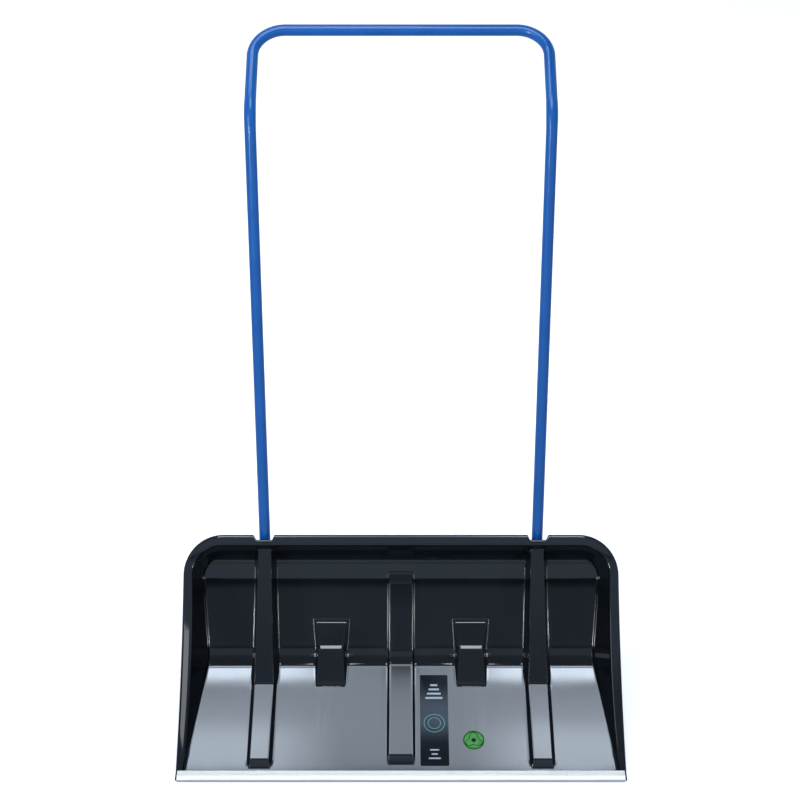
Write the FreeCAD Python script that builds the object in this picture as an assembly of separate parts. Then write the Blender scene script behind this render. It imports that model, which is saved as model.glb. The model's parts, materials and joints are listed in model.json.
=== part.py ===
"""Wheeled snow pusher: a moulded scoop with an aluminium edge, a bent tube handle and two small wheels.

The model is drawn in a working frame, in millimetres: X across the scoop, Y from the front edge back
to the user, Z up from the ground that the edge and both wheels stand on. Every piece is moved by
`centre_shift` when it is written, so that the origin is at the middle of the footprint.
"""
import FreeCAD, Part
import math
import os

Vec = FreeCAD.Vector

# ---- Scoop: side view of the inner surface -------------------------------------------------------
shell_thickness = 3.2
front_lip_y = 3.0              # the floor's front end, inside the edge strip
floor_height_at_edge = 4.6     # height of the floor's upper surface, carried on to the front edge
floor_rise = 0.0735            # rise of the floor per mm of depth
wall_foot = (257.0, 39.0)      # a point on the sloping back wall
wall_rise = 1.0575             # rise of the back wall per mm of depth
floor_wall_radius = 40.0
wall_top_radius = 45.0

# ---- Scoop: rim and taper ------------------------------------------------------------------------
rim_front = (12.0, 4.0)        # the rim's front end
rim_top = (359.9, 212.1)       # the rim's top edge
rim_sag = 22.0                 # how far the rim bows in below the line between its ends
inner_half_width = 363.0       # half of the mouth at the rim line
inner_top_reach = 388.9        # from the rim's front end to the mouth's top edge, along the rim line
wall_taper = 0.27              # how fast the side walls close in with depth
top_taper = 0.30
mouth_corner_radius = 52.0
rim_half_width = 375.0
rim_corner_radius = 68.0
rim_thickness = 3.0
rim_fold_depth = 12.0
rim_fold_thickness = 2.8
ground_clearance = 0.8         # of the rim's feet beside the edge strip
notch_half_width = 15.5        # of the gaps in the rim's top edge for the tube
notch_depth = 9.0

# ---- Sockets for the handle, centre rib and wheel housings ---------------------------------------
socket_x = 236.0
socket_wall = 3.0
socket_top_wall = 1.6
socket_base_half = 22.5
socket_face = {"foot": (25.0, 6.2), "front": (32.8, 18.0), "bend": (180.0, 28.9), "top": (351.0, 185.0)}
socket_face_half = {"front": 16.8, "bend": 17.5, "top": 11.5}
cradle_length = 14.0
cradle_places = (30.0, 75.0, 120.0)   # along the tube's leg from its lower end
rib_height = 8.0
rib_half_base = 23.8
rib_half_face = 20.8
rib_front_y = 35.0
rib_front_run = 9.0
housing_x = 121.5
housing_half_at_axle = 30.0

# ---- Wheels --------------------------------------------------------------------------------------
wheel_radius = 27.0
wheel_width = 26.0
hub_radius = 8.5
hub_length = 30.0
wheel_bore_clearance = 0.06
axle_radius = 3.5
axle_y = 242.5
axle_length = 72.0
washer_thickness = 1.5
washer_radius = 7.5
washer_gap = 0.3
boss_radius = 7.0
cap_radius = 4.7
cap_length = 7.4
cap_wall = 1.6
pocket_wall = 2.6              # of the moulded pocket round each axle cap
cap_end = axle_length / 2 + cap_wall

# ---- Handle --------------------------------------------------------------------------------------
tube_radius = 9.5
tube_wall = 1.3
leg_end = (236.0, 236.9, 57.6)
leg_bend = (236.0, 356.9, 167.4)
kink = (245.3, 711.0, 840.0)
bar_y = 870.5
bar_z = 896.0
leg_bend_radius = 60.0
kink_radius = 70.0
corner_radius = 53.0
plug_length = 16.0
plug_flange = 2.0

# ---- Fasteners -----------------------------------------------------------------------------------
screw_radius = 2.4
screw_head_radius = 4.75
screw_head_height = 3.2
screw_washer_radius = 6.0
screw_washer_thickness = 1.2
screw_bite = 5.2               # how far a handle screw reaches beyond the tube
rivet_radius = 1.6
rivet_head_radius = 3.2
rivet_y = 13.0
rivet_spacing = 165.0
rivets_each_side = 2

# ---- Edge strip and stickers ---------------------------------------------------------------------
strip_half_length = 371.5
strip_metal = 1.4
strip_top_reach = 18.5
strip_foot_reach = 26.0
strip_fit = 0.05
sticker_thickness = 0.3
label_centre_x = 56.5
label_width = 48.0
label_front_y = 28.0
label_back_y = 206.0
round_sticker_centre = (122.5, 77.0)
round_sticker_radius = 18.5

centre_shift = Vec(0, -(bar_y + tube_radius) / 2, 0)


# ---- Small helpers -------------------------------------------------------------------------------
def cylinder_x(radius, x_low, x_high, y, z):
    return Part.makeCylinder(radius, x_high - x_low, Vec(x_low, y, z), Vec(1, 0, 0))


def extrude_side_view(face, half_width):
    """Extrudes a face drawn in the side view across X, the same distance each way."""
    face.translate(Vec(-half_width, 0, 0))
    return face.extrude(Vec(2 * half_width, 0, 0))


def side_polygon(points):
    corners = [Vec(0, y, z) for y, z in points]
    return Part.Face(Part.makePolygon(corners + corners[:1]))


def ridge_solid(stations, side_triangles, centre_x):
    """A closed solid whose side view is a polygon, with its own half width at each corner."""
    left = [Vec(centre_x - half, y, z) for half, y, z in stations]
    right = [Vec(centre_x + half, y, z) for half, y, z in stations]
    faces = []
    for a in range(len(stations)):
        b = (a + 1) % len(stations)
        faces.append(Part.Face(Part.makePolygon([left[a], right[a], right[b], left[b], left[a]])))
    for triangle in side_triangles:
        for side in (left, right):
            corners = [side[i] for i in triangle]
            faces.append(Part.Face(Part.makePolygon(corners + corners[:1])))
    shell = Part.Shell(faces)
    shell.sewShape()
    solid = Part.Solid(shell)
    if solid.Volume < 0:
        solid.reverse()
    return solid


def floor_z(y):
    return floor_height_at_edge + floor_rise * y


def wall_z(y):
    return wall_foot[1] + wall_rise * (y - wall_foot[0])


# ---- Rim frame: s runs up along the line between the rim's ends, d runs into the scoop -------------
rim_length = math.hypot(rim_top[0] - rim_front[0], rim_top[1] - rim_front[1])
rim_along = ((rim_top[0] - rim_front[0]) / rim_length, (rim_top[1] - rim_front[1]) / rim_length)
rim_inward = (rim_along[1], -rim_along[0])


def rim_point(s, d):
    y = rim_front[0] + s * rim_along[0] + d * rim_inward[0]
    z = rim_front[1] + s * rim_along[1] + d * rim_inward[1]
    return (y, z)


def rounded_outline(half_width, reach, radius, d, front=-90.0):
    """The outline of the scoop at depth d: straight sides, square at the front, round top corners."""
    def at(x, s):
        y, z = rim_point(s, d)
        return Vec(x, y, z)

    middle = radius * (1 - math.sqrt(0.5))
    low_left = at(-half_width, front)
    left = at(-half_width, reach - radius)
    left_top = at(-half_width + radius, reach)
    right_top = at(half_width - radius, reach)
    right = at(half_width, reach - radius)
    low_right = at(half_width, front)
    edges = [
        Part.LineSegment(low_left, left).toShape(),
        Part.Arc(left, at(-half_width + middle, reach - middle), left_top).toShape(),
        Part.LineSegment(left_top, right_top).toShape(),
        Part.Arc(right_top, at(half_width - middle, reach - middle), right).toShape(),
        Part.LineSegment(right, low_right).toShape(),
        Part.LineSegment(low_right, low_left).toShape(),
    ]
    return Part.Wire(edges)


def tapered_block(grow, depth_above=40.0, depth_below=130.0):
    """The space between the side walls and the top wall, closing in with depth; grow offsets it outward."""
    wires = []
    for d in (-depth_above, depth_below):
        half_width = inner_half_width + grow - wall_taper * d
        reach = inner_top_reach + grow - top_taper * d
        radius = mouth_corner_radius + grow - wall_taper * d * 0.5
        wires.append(rounded_outline(half_width, reach, radius, d))
    return Part.makeLoft(wires, True, True)


def straight_block(half_width, reach, radius):
    outline = rounded_outline(half_width, reach, radius, -60.0)
    depth = 220.0
    return Part.Face(outline).extrude(Vec(0, depth * rim_inward[0], depth * rim_inward[1]))


# ---- Scoop side view -----------------------------------------------------------------------------
def inner_profile_points():
    """Corner points of the floor, back wall and top wall, before their radii."""
    slope_gap = wall_rise - floor_rise
    foot_y = (floor_height_at_edge - wall_foot[1] + wall_rise * wall_foot[0]) / slope_gap
    foot = (foot_y, floor_z(foot_y))
    low = rim_point(inner_top_reach - top_taper * 80.0, 80.0)
    high = rim_point(inner_top_reach + top_taper * 30.0, -30.0)
    run = (high[0] - low[0]) / (high[1] - low[1])
    top_y = (low[0] + run * (wall_foot[1] - wall_rise * wall_foot[0] - low[1])) / (1 - run * wall_rise)
    return foot, (top_y, wall_z(top_y)), high


def rounded_corner(before, corner, after, radius):
    """Tangent arc that rounds a corner in the side view: returns its start, middle and end."""
    a = Vec(0, before[0] - corner[0], before[1] - corner[1]).normalize()
    b = Vec(0, after[0] - corner[0], after[1] - corner[1]).normalize()
    half_angle = a.getAngle(b) / 2
    origin = Vec(0, corner[0], corner[1])
    start = origin + a * (radius / math.tan(half_angle))
    end = origin + b * (radius / math.tan(half_angle))
    bisector = (a + b).normalize()
    middle = origin + bisector * (radius / math.sin(half_angle) - radius)
    return start, middle, end


def scoop_side_face():
    """The space above the floor and in front of the back wall, in the side view."""
    foot, top, high = inner_profile_points()
    front = (front_lip_y, floor_z(front_lip_y))
    start_low, mid_low, end_low = rounded_corner(front, foot, top, floor_wall_radius)
    start_top, mid_top, end_top = rounded_corner(foot, top, high, wall_top_radius)
    front_point = Vec(0, *front)
    above_front = Vec(0, front_lip_y, high[1])
    high_point = Vec(0, *high)
    edges = [
        Part.LineSegment(front_point, start_low).toShape(),
        Part.Arc(start_low, mid_low, end_low).toShape(),
        Part.LineSegment(end_low, start_top).toShape(),
        Part.Arc(start_top, mid_top, end_top).toShape(),
        Part.LineSegment(end_top, high_point).toShape(),
        Part.LineSegment(high_point, above_front).toShape(),
        Part.LineSegment(above_front, front_point).toShape(),
    ]
    return Part.Face(Part.Wire(edges))


def rim_arc(offset):
    """The rim's side line, lowered by offset into the scoop, with straight ends past the rim."""
    start = Vec(0, *rim_point(0, offset))
    middle = Vec(0, *rim_point(rim_length / 2, rim_sag + offset))
    end = Vec(0, *rim_point(rim_length, offset))
    return start, middle, end


def above_rim_face(offset):
    start, middle, end = rim_arc(offset)
    before = Vec(0, *rim_point(-60.0, offset - 16.0))
    after = Vec(0, *rim_point(rim_length + 40.0, offset - 8.0))
    high_end = Vec(0, *rim_point(rim_length + 40.0, -200.0))
    high_start = Vec(0, *rim_point(-60.0, -200.0))
    edges = [
        Part.LineSegment(before, start).toShape(),
        Part.Arc(start, middle, end).toShape(),
        Part.LineSegment(end, after).toShape(),
        Part.LineSegment(after, high_end).toShape(),
        Part.LineSegment(high_end, high_start).toShape(),
        Part.LineSegment(high_start, before).toShape(),
    ]
    return Part.Face(Part.Wire(edges))


def above_rim(offset):
    return extrude_side_view(above_rim_face(offset), 450.0)


def scoop_outer_block():
    face = scoop_side_face().makeOffset2D(shell_thickness)
    return extrude_side_view(face, 450.0).common(tapered_block(shell_thickness))


def scoop_shell(outer):
    cavity = extrude_side_view(scoop_side_face(), 460.0).common(tapered_block(0.0))
    front_cut = Part.makeBox(1000, 200, 1000, Vec(-500, front_lip_y - 200, -200))
    return outer.cut(cavity).cut(above_rim(0.0)).cut(front_cut)


def scoop_rim():
    """The flat rim round the mouth, with its folded-down outer edge."""
    outline = straight_block(rim_half_width, rim_length, rim_corner_radius)
    flange = outline.cut(tapered_block(0.0)).cut(above_rim(0.0)).common(above_rim(rim_thickness))
    fold_inside = straight_block(rim_half_width - rim_fold_thickness, rim_length - rim_fold_thickness,
                                 rim_corner_radius - rim_fold_thickness)
    fold = outline.cut(fold_inside).cut(above_rim(0.0)).common(above_rim(rim_fold_depth))
    ground = Part.makeBox(1000, 400, 300, Vec(-500, -200, ground_clearance - 300))
    front = Part.makeBox(1000, 200, 400, Vec(-500, front_lip_y - 200, -200))
    return flange.fuse(fold).cut(ground).cut(front)


# ---- Handle sockets, centre rib, wheel housings --------------------------------------------------
socket_rise = ((socket_face["top"][1] - socket_face["bend"][1])
               / (socket_face["top"][0] - socket_face["bend"][0]))
socket_sides = ((0, 1, 2), (0, 2, 5), (2, 3, 5), (3, 4, 5))


def socket_outer(centre_x):
    foot, front, bend, top = (socket_face[k] for k in ("foot", "front", "bend", "top"))
    stations = [
        (socket_base_half, foot[0], foot[1] - 2),
        (socket_face_half["front"], *front),
        (socket_face_half["bend"], *bend),
        (socket_face_half["top"], *top),
        (socket_base_half, top[0] + 16, top[1] - 14),
        (socket_base_half, 262.0, 18.0),
    ]
    return ridge_solid(stations, socket_sides, centre_x)


def socket_inner(centre_x):
    drop = socket_wall * math.sqrt(1 + socket_rise ** 2)
    front, bend, top = (socket_face[k] for k in ("front", "bend", "top"))
    inner_half = socket_base_half - socket_wall
    stations = [
        (inner_half, front[0] - 4, -4.0),
        (socket_face_half["front"] - socket_wall, front[0] + 2.5, front[1] - socket_wall),
        (socket_face_half["bend"] - socket_wall, bend[0] + 1.3, bend[1] - socket_wall),
        (socket_face_half["top"] - socket_top_wall, top[0] + 5, top[1] + 5 * socket_rise - drop),
        (inner_half, top[0] + 26, top[1] - 22),
        (inner_half, 290.0, -4.0),
    ]
    return ridge_solid(stations, socket_sides, centre_x)


def leg_direction():
    return (Vec(*leg_bend) - Vec(*leg_end)).normalize()


def leg_back_normal():
    """Square to the tube's leg, pointing out of the open back of the socket."""
    along = leg_direction()
    return Vec(0, along.z, -along.y).normalize()


def cradles(centre_x):
    """Moulded rests in the socket that the tube lies on, each a block shaped to the tube."""
    along = leg_direction()
    back = leg_back_normal()
    blocks = []
    for place in cradle_places:
        centre = Vec(*leg_end) + along * place
        centre.x = centre_x
        corner = centre - along * (cradle_length / 2) + Vec(-20, 0, 0)
        block = Part.makeBox(40, cradle_length, 20)
        block.Placement = FreeCAD.Placement(corner, FreeCAD.Rotation(Vec(1, 0, 0), along, back * -1, "XYZ"))
        blocks.append(block)
    merged = blocks[0].multiFuse(blocks[1:])
    room = Part.makeCylinder(tube_radius + 0.02, 400, centre_on_leg(centre_x) - along * 100, along)
    return merged.common(socket_inner(centre_x)).cut(room)


def centre_on_leg(centre_x):
    point = Vec(*leg_end)
    point.x = centre_x
    return point


def centre_rib_block(inset, lift):
    """The raised band up the middle of the floor and back wall."""
    foot, top, _ = inner_profile_points()
    height = rib_height - inset
    wall_normal_y = -wall_rise / math.hypot(1, wall_rise)
    wall_normal_z = 1 / math.hypot(1, wall_rise)
    front_y = rib_front_y + rib_front_run + inset
    bend_y = foot[0] - 4.0
    end_y = top[0] - 26.0
    stations = [
        (rib_half_base - inset, rib_front_y + inset * 1.4, floor_z(rib_front_y) - lift),
        (rib_half_face - inset, front_y, floor_z(front_y) + height),
        (rib_half_face - inset, bend_y - height * 0.45, floor_z(bend_y) + height),
        (rib_half_face - inset, end_y + height * wall_normal_y, wall_z(end_y) + height * wall_normal_z),
        (rib_half_base - inset, end_y + 16 - inset, wall_z(end_y + 16 - inset) - lift),
        (rib_half_base - inset, foot[0] + lift * 0.8, foot[1] - lift),
    ]
    return ridge_solid(stations, socket_sides, 0.0)


housing_sides = ((0, 1, 3), (1, 2, 3))


def housing_outer(centre_x):
    stations = [
        (25.6, 181.0, 14.6),
        (21.8, 230.5, 60.5),
        (32.4, 297.0, 71.9),
        (31.5, 262.0, 14.0),
    ]
    return ridge_solid(stations, housing_sides, centre_x)


def housing_inner(centre_x):
    stations = [
        (22.4, 179.0, 8.6),
        (18.7, 231.0, 57.4),
        (29.2, 302.0, 69.6),
        (29.2, 306.0, -14.0),
    ]
    return ridge_solid(stations, ((0, 1, 2), (0, 2, 3)), centre_x)


def axle_bosses(centre_x):
    inner = hub_length / 2 + 2 * washer_gap + washer_thickness
    return both_ends(boss_radius, inner, housing_half_at_axle, centre_x)


def both_ends(radius, near, far, centre_x):
    """Two cylinders on the axle's line, one each side of the wheel."""
    ends = []
    for side in (-1, 1):
        low, high = sorted((side * near, side * far))
        ends.append(cylinder_x(radius, centre_x + low, centre_x + high, axle_y, wheel_radius))
    return ends[0].fuse(ends[1])


def axle_room(centre_x):
    """The hole for the axle, and pockets in the corner of the scoop for the caps on its ends."""
    half = axle_length / 2 + 0.3
    bore = cylinder_x(axle_radius + 0.02, centre_x - half, centre_x + half, axle_y, wheel_radius)
    return bore.fuse(both_ends(cap_radius + 0.2, housing_half_at_axle, cap_end + 1.0, centre_x))


def pocket_backs(centre_x, outer):
    """Material behind the pockets, where they come near the back of the shell."""
    blocks = both_ends(cap_radius + 0.2 + pocket_wall, housing_half_at_axle - 1.0,
                       cap_end + 1.0 + pocket_wall, centre_x)
    return blocks.cut(outer)


def rim_notch(centre_x):
    """The gap in the rim's top edge that the tube passes through."""
    y, z = rim_point(rim_length - notch_depth, 30.0)
    block = Part.makeBox(2 * notch_half_width, 30, 60)
    along = Vec(0, *rim_along)
    outward = Vec(0, *rim_inward) * -1
    block.Placement = FreeCAD.Placement(Vec(centre_x - notch_half_width, y, z),
                                        FreeCAD.Rotation(Vec(1, 0, 0), along, outward, "XYZ"))
    return block


def make_scoop():
    outer = scoop_outer_block()
    scoop = scoop_shell(outer).fuse(scoop_rim())
    for centre_x in (-socket_x, socket_x):
        raised = socket_outer(centre_x).common(outer)
        scoop = scoop.fuse(raised).cut(socket_inner(centre_x)).fuse(cradles(centre_x))
        scoop = scoop.cut(rim_notch(centre_x))
    for centre_x in (-housing_x, housing_x):
        scoop = scoop.fuse(housing_outer(centre_x).common(outer)).cut(housing_inner(centre_x))
        scoop = scoop.fuse(axle_bosses(centre_x)).fuse(pocket_backs(centre_x, outer))
        scoop = scoop.cut(axle_room(centre_x))
    scoop = scoop.fuse(centre_rib_block(0.0, 1.5).common(outer)).cut(centre_rib_block(3.0, 6.0))
    scoop = scoop.cut(screw_shanks(-1)).cut(screw_shanks(1)).cut(make_rivets()).cut(make_edge_strip())
    return scoop.removeSplitter()


# ---- Handle --------------------------------------------------------------------------------------
def handle_path():
    """Half of the handle's centre line from the left leg's end, mirrored for the other half."""
    end, bend, top = Vec(*leg_end), Vec(*leg_bend), Vec(*kink)
    corner = Vec(kink[0], bar_y, bar_z)
    left = [Vec(-p.x, p.y, p.z) for p in (end, bend, top, corner)]
    right = [corner, top, bend, end]
    points = left + right
    radii = [leg_bend_radius, kink_radius, corner_radius, corner_radius, kink_radius, leg_bend_radius]
    return rounded_path(points, radii)


def rounded_path(points, radii):
    edges = []
    last = points[0]
    for index, radius in enumerate(radii, start=1):
        corner = points[index]
        a = (points[index - 1] - corner).normalize()
        b = (points[index + 1] - corner).normalize()
        half_angle = a.getAngle(b) / 2
        start = corner + a * (radius / math.tan(half_angle))
        finish = corner + b * (radius / math.tan(half_angle))
        middle = corner + (a + b).normalize() * (radius / math.sin(half_angle) - radius)
        edges.append(Part.LineSegment(last, start).toShape())
        edges.append(Part.Arc(start, middle, finish).toShape())
        last = finish
    edges.append(Part.LineSegment(last, points[-1]).toShape())
    return Part.Wire(edges)


def swept_rod(path, radius):
    start = path.Edges[0].Vertexes[0].Point
    direction = path.Edges[0].tangentAt(path.Edges[0].FirstParameter)
    circle = Part.Wire(Part.makeCircle(radius, start, direction))
    return path.makePipeShell([circle], True, True)


def make_handle():
    path = handle_path()
    tube = swept_rod(path, tube_radius).cut(swept_rod(path, tube_radius - tube_wall))
    return tube.cut(screw_shanks(-1)).cut(screw_shanks(1))


def leg_frame(side):
    end = Vec(side * leg_end[0], leg_end[1], leg_end[2])
    return end, leg_direction(), leg_back_normal()


def make_plug(side):
    """The moulded plug that closes the tube's lower end."""
    end, along, _ = leg_frame(side)
    stem = Part.makeCylinder(tube_radius - tube_wall - 0.02, plug_length, end, along)
    flange = Part.makeCylinder(tube_radius, plug_flange, end - along * plug_flange, along)
    return stem.fuse(flange).removeSplitter()


def screw_places(side):
    end, along, back = leg_frame(side)
    return [(end + along * place, back) for place in cradle_places[:2]]


def screw_shanks(side):
    shanks = []
    length = 2 * tube_radius + screw_washer_thickness + screw_bite
    for centre, back in screw_places(side):
        start = centre + back * (tube_radius + screw_washer_thickness)
        shanks.append(Part.makeCylinder(screw_radius, length, start, back * -1))
    return shanks[0].fuse(shanks[1])


def make_screws(side):
    """Two pan-head screws, driven from behind through the tube into its rests."""
    pieces = []
    for centre, back in screw_places(side):
        seat = centre + back * (tube_radius + screw_washer_thickness)
        length = 2 * tube_radius + screw_washer_thickness + screw_bite
        shank = Part.makeCylinder(screw_radius, length, seat, back * -1)
        head = Part.makeCylinder(screw_head_radius, screw_head_height, seat, back)
        head = head.makeFillet(1.2, [e for e in head.Edges if is_far_rim(e, seat, back)])
        slot = Part.makeBox(1.2, 12, 3)
        across = Vec(1, 0, 0)
        along = back.cross(across)
        origin = seat + back * (screw_head_height - 1.4) - across * 0.6 - along * 6
        slot.Placement = FreeCAD.Placement(origin, FreeCAD.Rotation(across, along, back, "XYZ"))
        pieces.append(shank.fuse(head).cut(slot))
    return Part.makeCompound(pieces)


def is_far_rim(edge, seat, back):
    centre = edge.BoundBox.Center
    return isinstance(edge.Curve, Part.Circle) and (centre - seat).dot(back) > screw_head_height / 2


def make_washers(side):
    pieces = []
    for centre, back in screw_places(side):
        seat = centre + back * (tube_radius - 0.6)
        disc = Part.makeCylinder(screw_washer_radius, screw_washer_thickness + 0.6, seat, back)
        hole = Part.makeCylinder(screw_radius, 10, seat - back * 4, back)
        end, along, _ = leg_frame(side)
        tube_room = Part.makeCylinder(tube_radius + 0.01, 300, end - along * 40, along)
        pieces.append(disc.cut(hole).cut(tube_room))
    return Part.makeCompound(pieces)


# ---- Wheels --------------------------------------------------------------------------------------
def wheel_profile():
    """Half section of the wheel: hub, web and tread, drawn as x along the axle and r out from it."""
    bore = axle_radius + wheel_bore_clearance
    half_hub = hub_length / 2
    half_tread = wheel_width / 2
    web = 2.0
    tread_inside = wheel_radius - 4.5
    return [
        (-half_hub, bore), (half_hub, bore), (half_hub, hub_radius), (web, hub_radius),
        (web, tread_inside), (half_tread, tread_inside), (half_tread, wheel_radius - 2.5),
        (half_tread - 2.5, wheel_radius), (-half_tread + 2.5, wheel_radius),
        (-half_tread, wheel_radius - 2.5), (-half_tread, tread_inside), (-web, tread_inside),
        (-web, hub_radius), (-half_hub, hub_radius),
    ]


def make_wheel(centre_x):
    points = [Vec(centre_x + x, axle_y, wheel_radius + r) for x, r in wheel_profile()]
    face = Part.Face(Part.makePolygon(points + points[:1]))
    wheel = face.revolve(Vec(centre_x, axle_y, wheel_radius), Vec(1, 0, 0), 360)
    spokes = 6
    reach = wheel_radius - 3.0 - hub_radius + 1.5
    for number in range(spokes):
        spoke = Part.makeBox(wheel_width - 2, 2.4, reach, Vec(centre_x - wheel_width / 2 + 1, axle_y - 1.2,
                                                              wheel_radius + hub_radius - 1.5))
        spoke.rotate(Vec(centre_x, axle_y, wheel_radius), Vec(1, 0, 0), number * 360 / spokes)
        wheel = wheel.fuse(spoke)
    return wheel.removeSplitter()


def make_axle(centre_x):
    half = axle_length / 2
    return cylinder_x(axle_radius, centre_x - half, centre_x + half, axle_y, wheel_radius)


def make_cap(centre_x, side):
    """Push-on cap over one end of the axle."""
    outer_end = centre_x + side * cap_end
    inner_end = centre_x + side * (cap_end - cap_length)
    low, high = sorted((inner_end, outer_end))
    body = cylinder_x(cap_radius, low, high, axle_y, wheel_radius)
    rims = [e for e in body.Edges if isinstance(e.Curve, Part.Circle)
            and abs(e.BoundBox.Center.x - outer_end) < 0.01]
    body = body.makeFillet(1.0, rims)
    return body.cut(make_axle(centre_x))


def make_wheel_washers(centre_x):
    pieces = []
    for side in (-1, 1):
        near = hub_length / 2 + washer_gap
        low, high = sorted((side * near, side * (near + washer_thickness)))
        disc = cylinder_x(washer_radius, centre_x + low, centre_x + high, axle_y, wheel_radius)
        pieces.append(disc.cut(make_axle(centre_x)))
    return Part.makeCompound(pieces)


# ---- Edge strip, rivets, stickers ----------------------------------------------------------------
def make_edge_strip():
    """Extruded aluminium wear edge that grips the front of the floor."""
    under = floor_height_at_edge - shell_thickness * math.hypot(1, floor_rise) - strip_fit
    over = floor_height_at_edge + strip_fit
    slot_y = front_lip_y - strip_fit
    outline = side_polygon([
        (1.2, 0.0),
        (strip_foot_reach, 0.0),
        (strip_foot_reach, under + floor_rise * strip_foot_reach),
        (slot_y, under + floor_rise * slot_y),
        (slot_y, over + floor_rise * slot_y),
        (strip_top_reach, over + floor_rise * strip_top_reach),
        (strip_top_reach, over + floor_rise * strip_top_reach + strip_metal * 0.8),
        (strip_top_reach - 1.0, over + floor_rise * strip_top_reach + strip_metal),
        (1.6, over + strip_metal),
        (0.0, over + strip_metal - 1.6),
        (0.0, 1.2),
    ])
    return extrude_side_view(outline, strip_half_length).cut(make_rivets())


def make_rivets():
    """Flush rivets up through the strip's foot and the floor, hidden under its top flange."""
    pieces = []
    for number in range(-rivets_each_side, rivets_each_side + 1):
        base = Vec(number * rivet_spacing, rivet_y, 0.0)
        head = Part.makeCone(rivet_head_radius, rivet_radius, 1.4, base, Vec(0, 0, 1))
        shank = Part.makeCylinder(rivet_radius, floor_z(rivet_y) - 0.2, base, Vec(0, 0, 1))
        pieces.append(head.fuse(shank).removeSplitter())
    return Part.makeCompound(pieces)


def on_floor(flat):
    """Lays a solid drawn flat at height 0 onto the sloping floor, keeping its place in Y."""
    flat.rotate(Vec(0, 0, 0), Vec(1, 0, 0), math.degrees(math.atan(floor_rise)))
    flat.translate(Vec(0, 0, floor_height_at_edge + 0.01))
    return flat


def make_label():
    length = label_back_y - label_front_y
    corner = Vec(label_centre_x - label_width / 2, label_front_y, 0)
    plate = Part.makeBox(label_width, length, sticker_thickness, corner)
    upright = [e for e in plate.Edges if abs(e.tangentAt(e.FirstParameter).z) > 0.9]
    return on_floor(plate.makeFillet(2.0, upright))


def make_round_sticker():
    x, y = round_sticker_centre
    return on_floor(Part.makeCylinder(round_sticker_radius, sticker_thickness, Vec(x, y, 0)))


# ---- Every piece ---------------------------------------------------------------------------------
def all_parts():
    parts = {
        "scoop": make_scoop(),
        "edge_strip": make_edge_strip(),
        "edge_rivets": make_rivets(),
        "handle_tube": make_handle(),
        "label_sticker": make_label(),
        "round_sticker": make_round_sticker(),
    }
    for name, side in (("left", -1), ("right", 1)):
        centre_x = side * housing_x
        parts["tube_plug_" + name] = make_plug(side)
        parts["handle_screws_" + name] = make_screws(side)
        parts["handle_washers_" + name] = make_washers(side)
        parts["wheel_" + name] = make_wheel(centre_x)
        parts["axle_" + name] = make_axle(centre_x)
        parts["wheel_washers_" + name] = make_wheel_washers(centre_x)
        parts["axle_cap_" + name + "_inner"] = make_cap(centre_x, -side)
        parts["axle_cap_" + name + "_outer"] = make_cap(centre_x, side)
    return parts


os.makedirs("parts", exist_ok=True)
for node, shape in all_parts().items():
    shape.translate(centre_shift)
    shape.exportStep("parts/" + node + ".step")
    box = shape.optimalBoundingBox()
    print(f"{node:24s} solids {len(shape.Solids)} valid {shape.isValid()} volume {shape.Volume:10.0f} "
          f"x {box.XMin:.1f}..{box.XMax:.1f} y {box.YMin:.1f}..{box.YMax:.1f} z {box.ZMin:.1f}..{box.ZMax:.1f}")
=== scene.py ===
"""Looks of the wheeled snow pusher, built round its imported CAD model.

Shapes are drawn in millimetres in the pusher's own working frame: X across, Y back from the front
edge, Z up from the ground. `place` moves a point into the row frame, in metres.
"""
import json
import math

import bmesh
import bpy
import numpy as np
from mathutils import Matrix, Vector

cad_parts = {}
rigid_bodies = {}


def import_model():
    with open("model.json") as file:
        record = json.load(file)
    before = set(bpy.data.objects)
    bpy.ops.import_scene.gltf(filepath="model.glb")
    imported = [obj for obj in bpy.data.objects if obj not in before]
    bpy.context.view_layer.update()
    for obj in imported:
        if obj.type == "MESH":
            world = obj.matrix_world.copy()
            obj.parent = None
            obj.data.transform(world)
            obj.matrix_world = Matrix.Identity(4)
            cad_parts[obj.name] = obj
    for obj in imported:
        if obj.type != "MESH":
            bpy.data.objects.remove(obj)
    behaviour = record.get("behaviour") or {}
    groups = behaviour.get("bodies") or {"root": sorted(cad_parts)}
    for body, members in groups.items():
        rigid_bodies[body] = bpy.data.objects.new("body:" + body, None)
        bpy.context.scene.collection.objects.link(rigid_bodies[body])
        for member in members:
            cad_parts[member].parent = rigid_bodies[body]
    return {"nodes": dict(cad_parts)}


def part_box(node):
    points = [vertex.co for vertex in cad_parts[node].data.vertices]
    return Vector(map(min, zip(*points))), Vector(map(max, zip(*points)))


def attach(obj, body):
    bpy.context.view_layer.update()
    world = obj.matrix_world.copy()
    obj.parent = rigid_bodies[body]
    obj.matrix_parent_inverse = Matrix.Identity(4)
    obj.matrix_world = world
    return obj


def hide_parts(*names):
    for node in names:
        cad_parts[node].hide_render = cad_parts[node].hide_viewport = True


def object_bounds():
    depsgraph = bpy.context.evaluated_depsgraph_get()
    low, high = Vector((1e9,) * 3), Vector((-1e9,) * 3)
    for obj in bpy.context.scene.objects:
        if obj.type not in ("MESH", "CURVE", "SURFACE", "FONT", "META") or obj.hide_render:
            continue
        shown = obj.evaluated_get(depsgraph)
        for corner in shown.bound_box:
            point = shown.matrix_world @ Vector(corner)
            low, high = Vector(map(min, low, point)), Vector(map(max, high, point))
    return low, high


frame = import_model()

bpy.context.view_layer.update()
cad_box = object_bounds()
MM = 0.001
FRONT_Y = cad_box[0].y         # the front edge of the scoop, in the row frame
BODY = "pusher"
SIDES = (("left", -1), ("right", 1))


def place(x, y, z):
    return Vector((x * MM, FRONT_Y + y * MM, z * MM))


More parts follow.
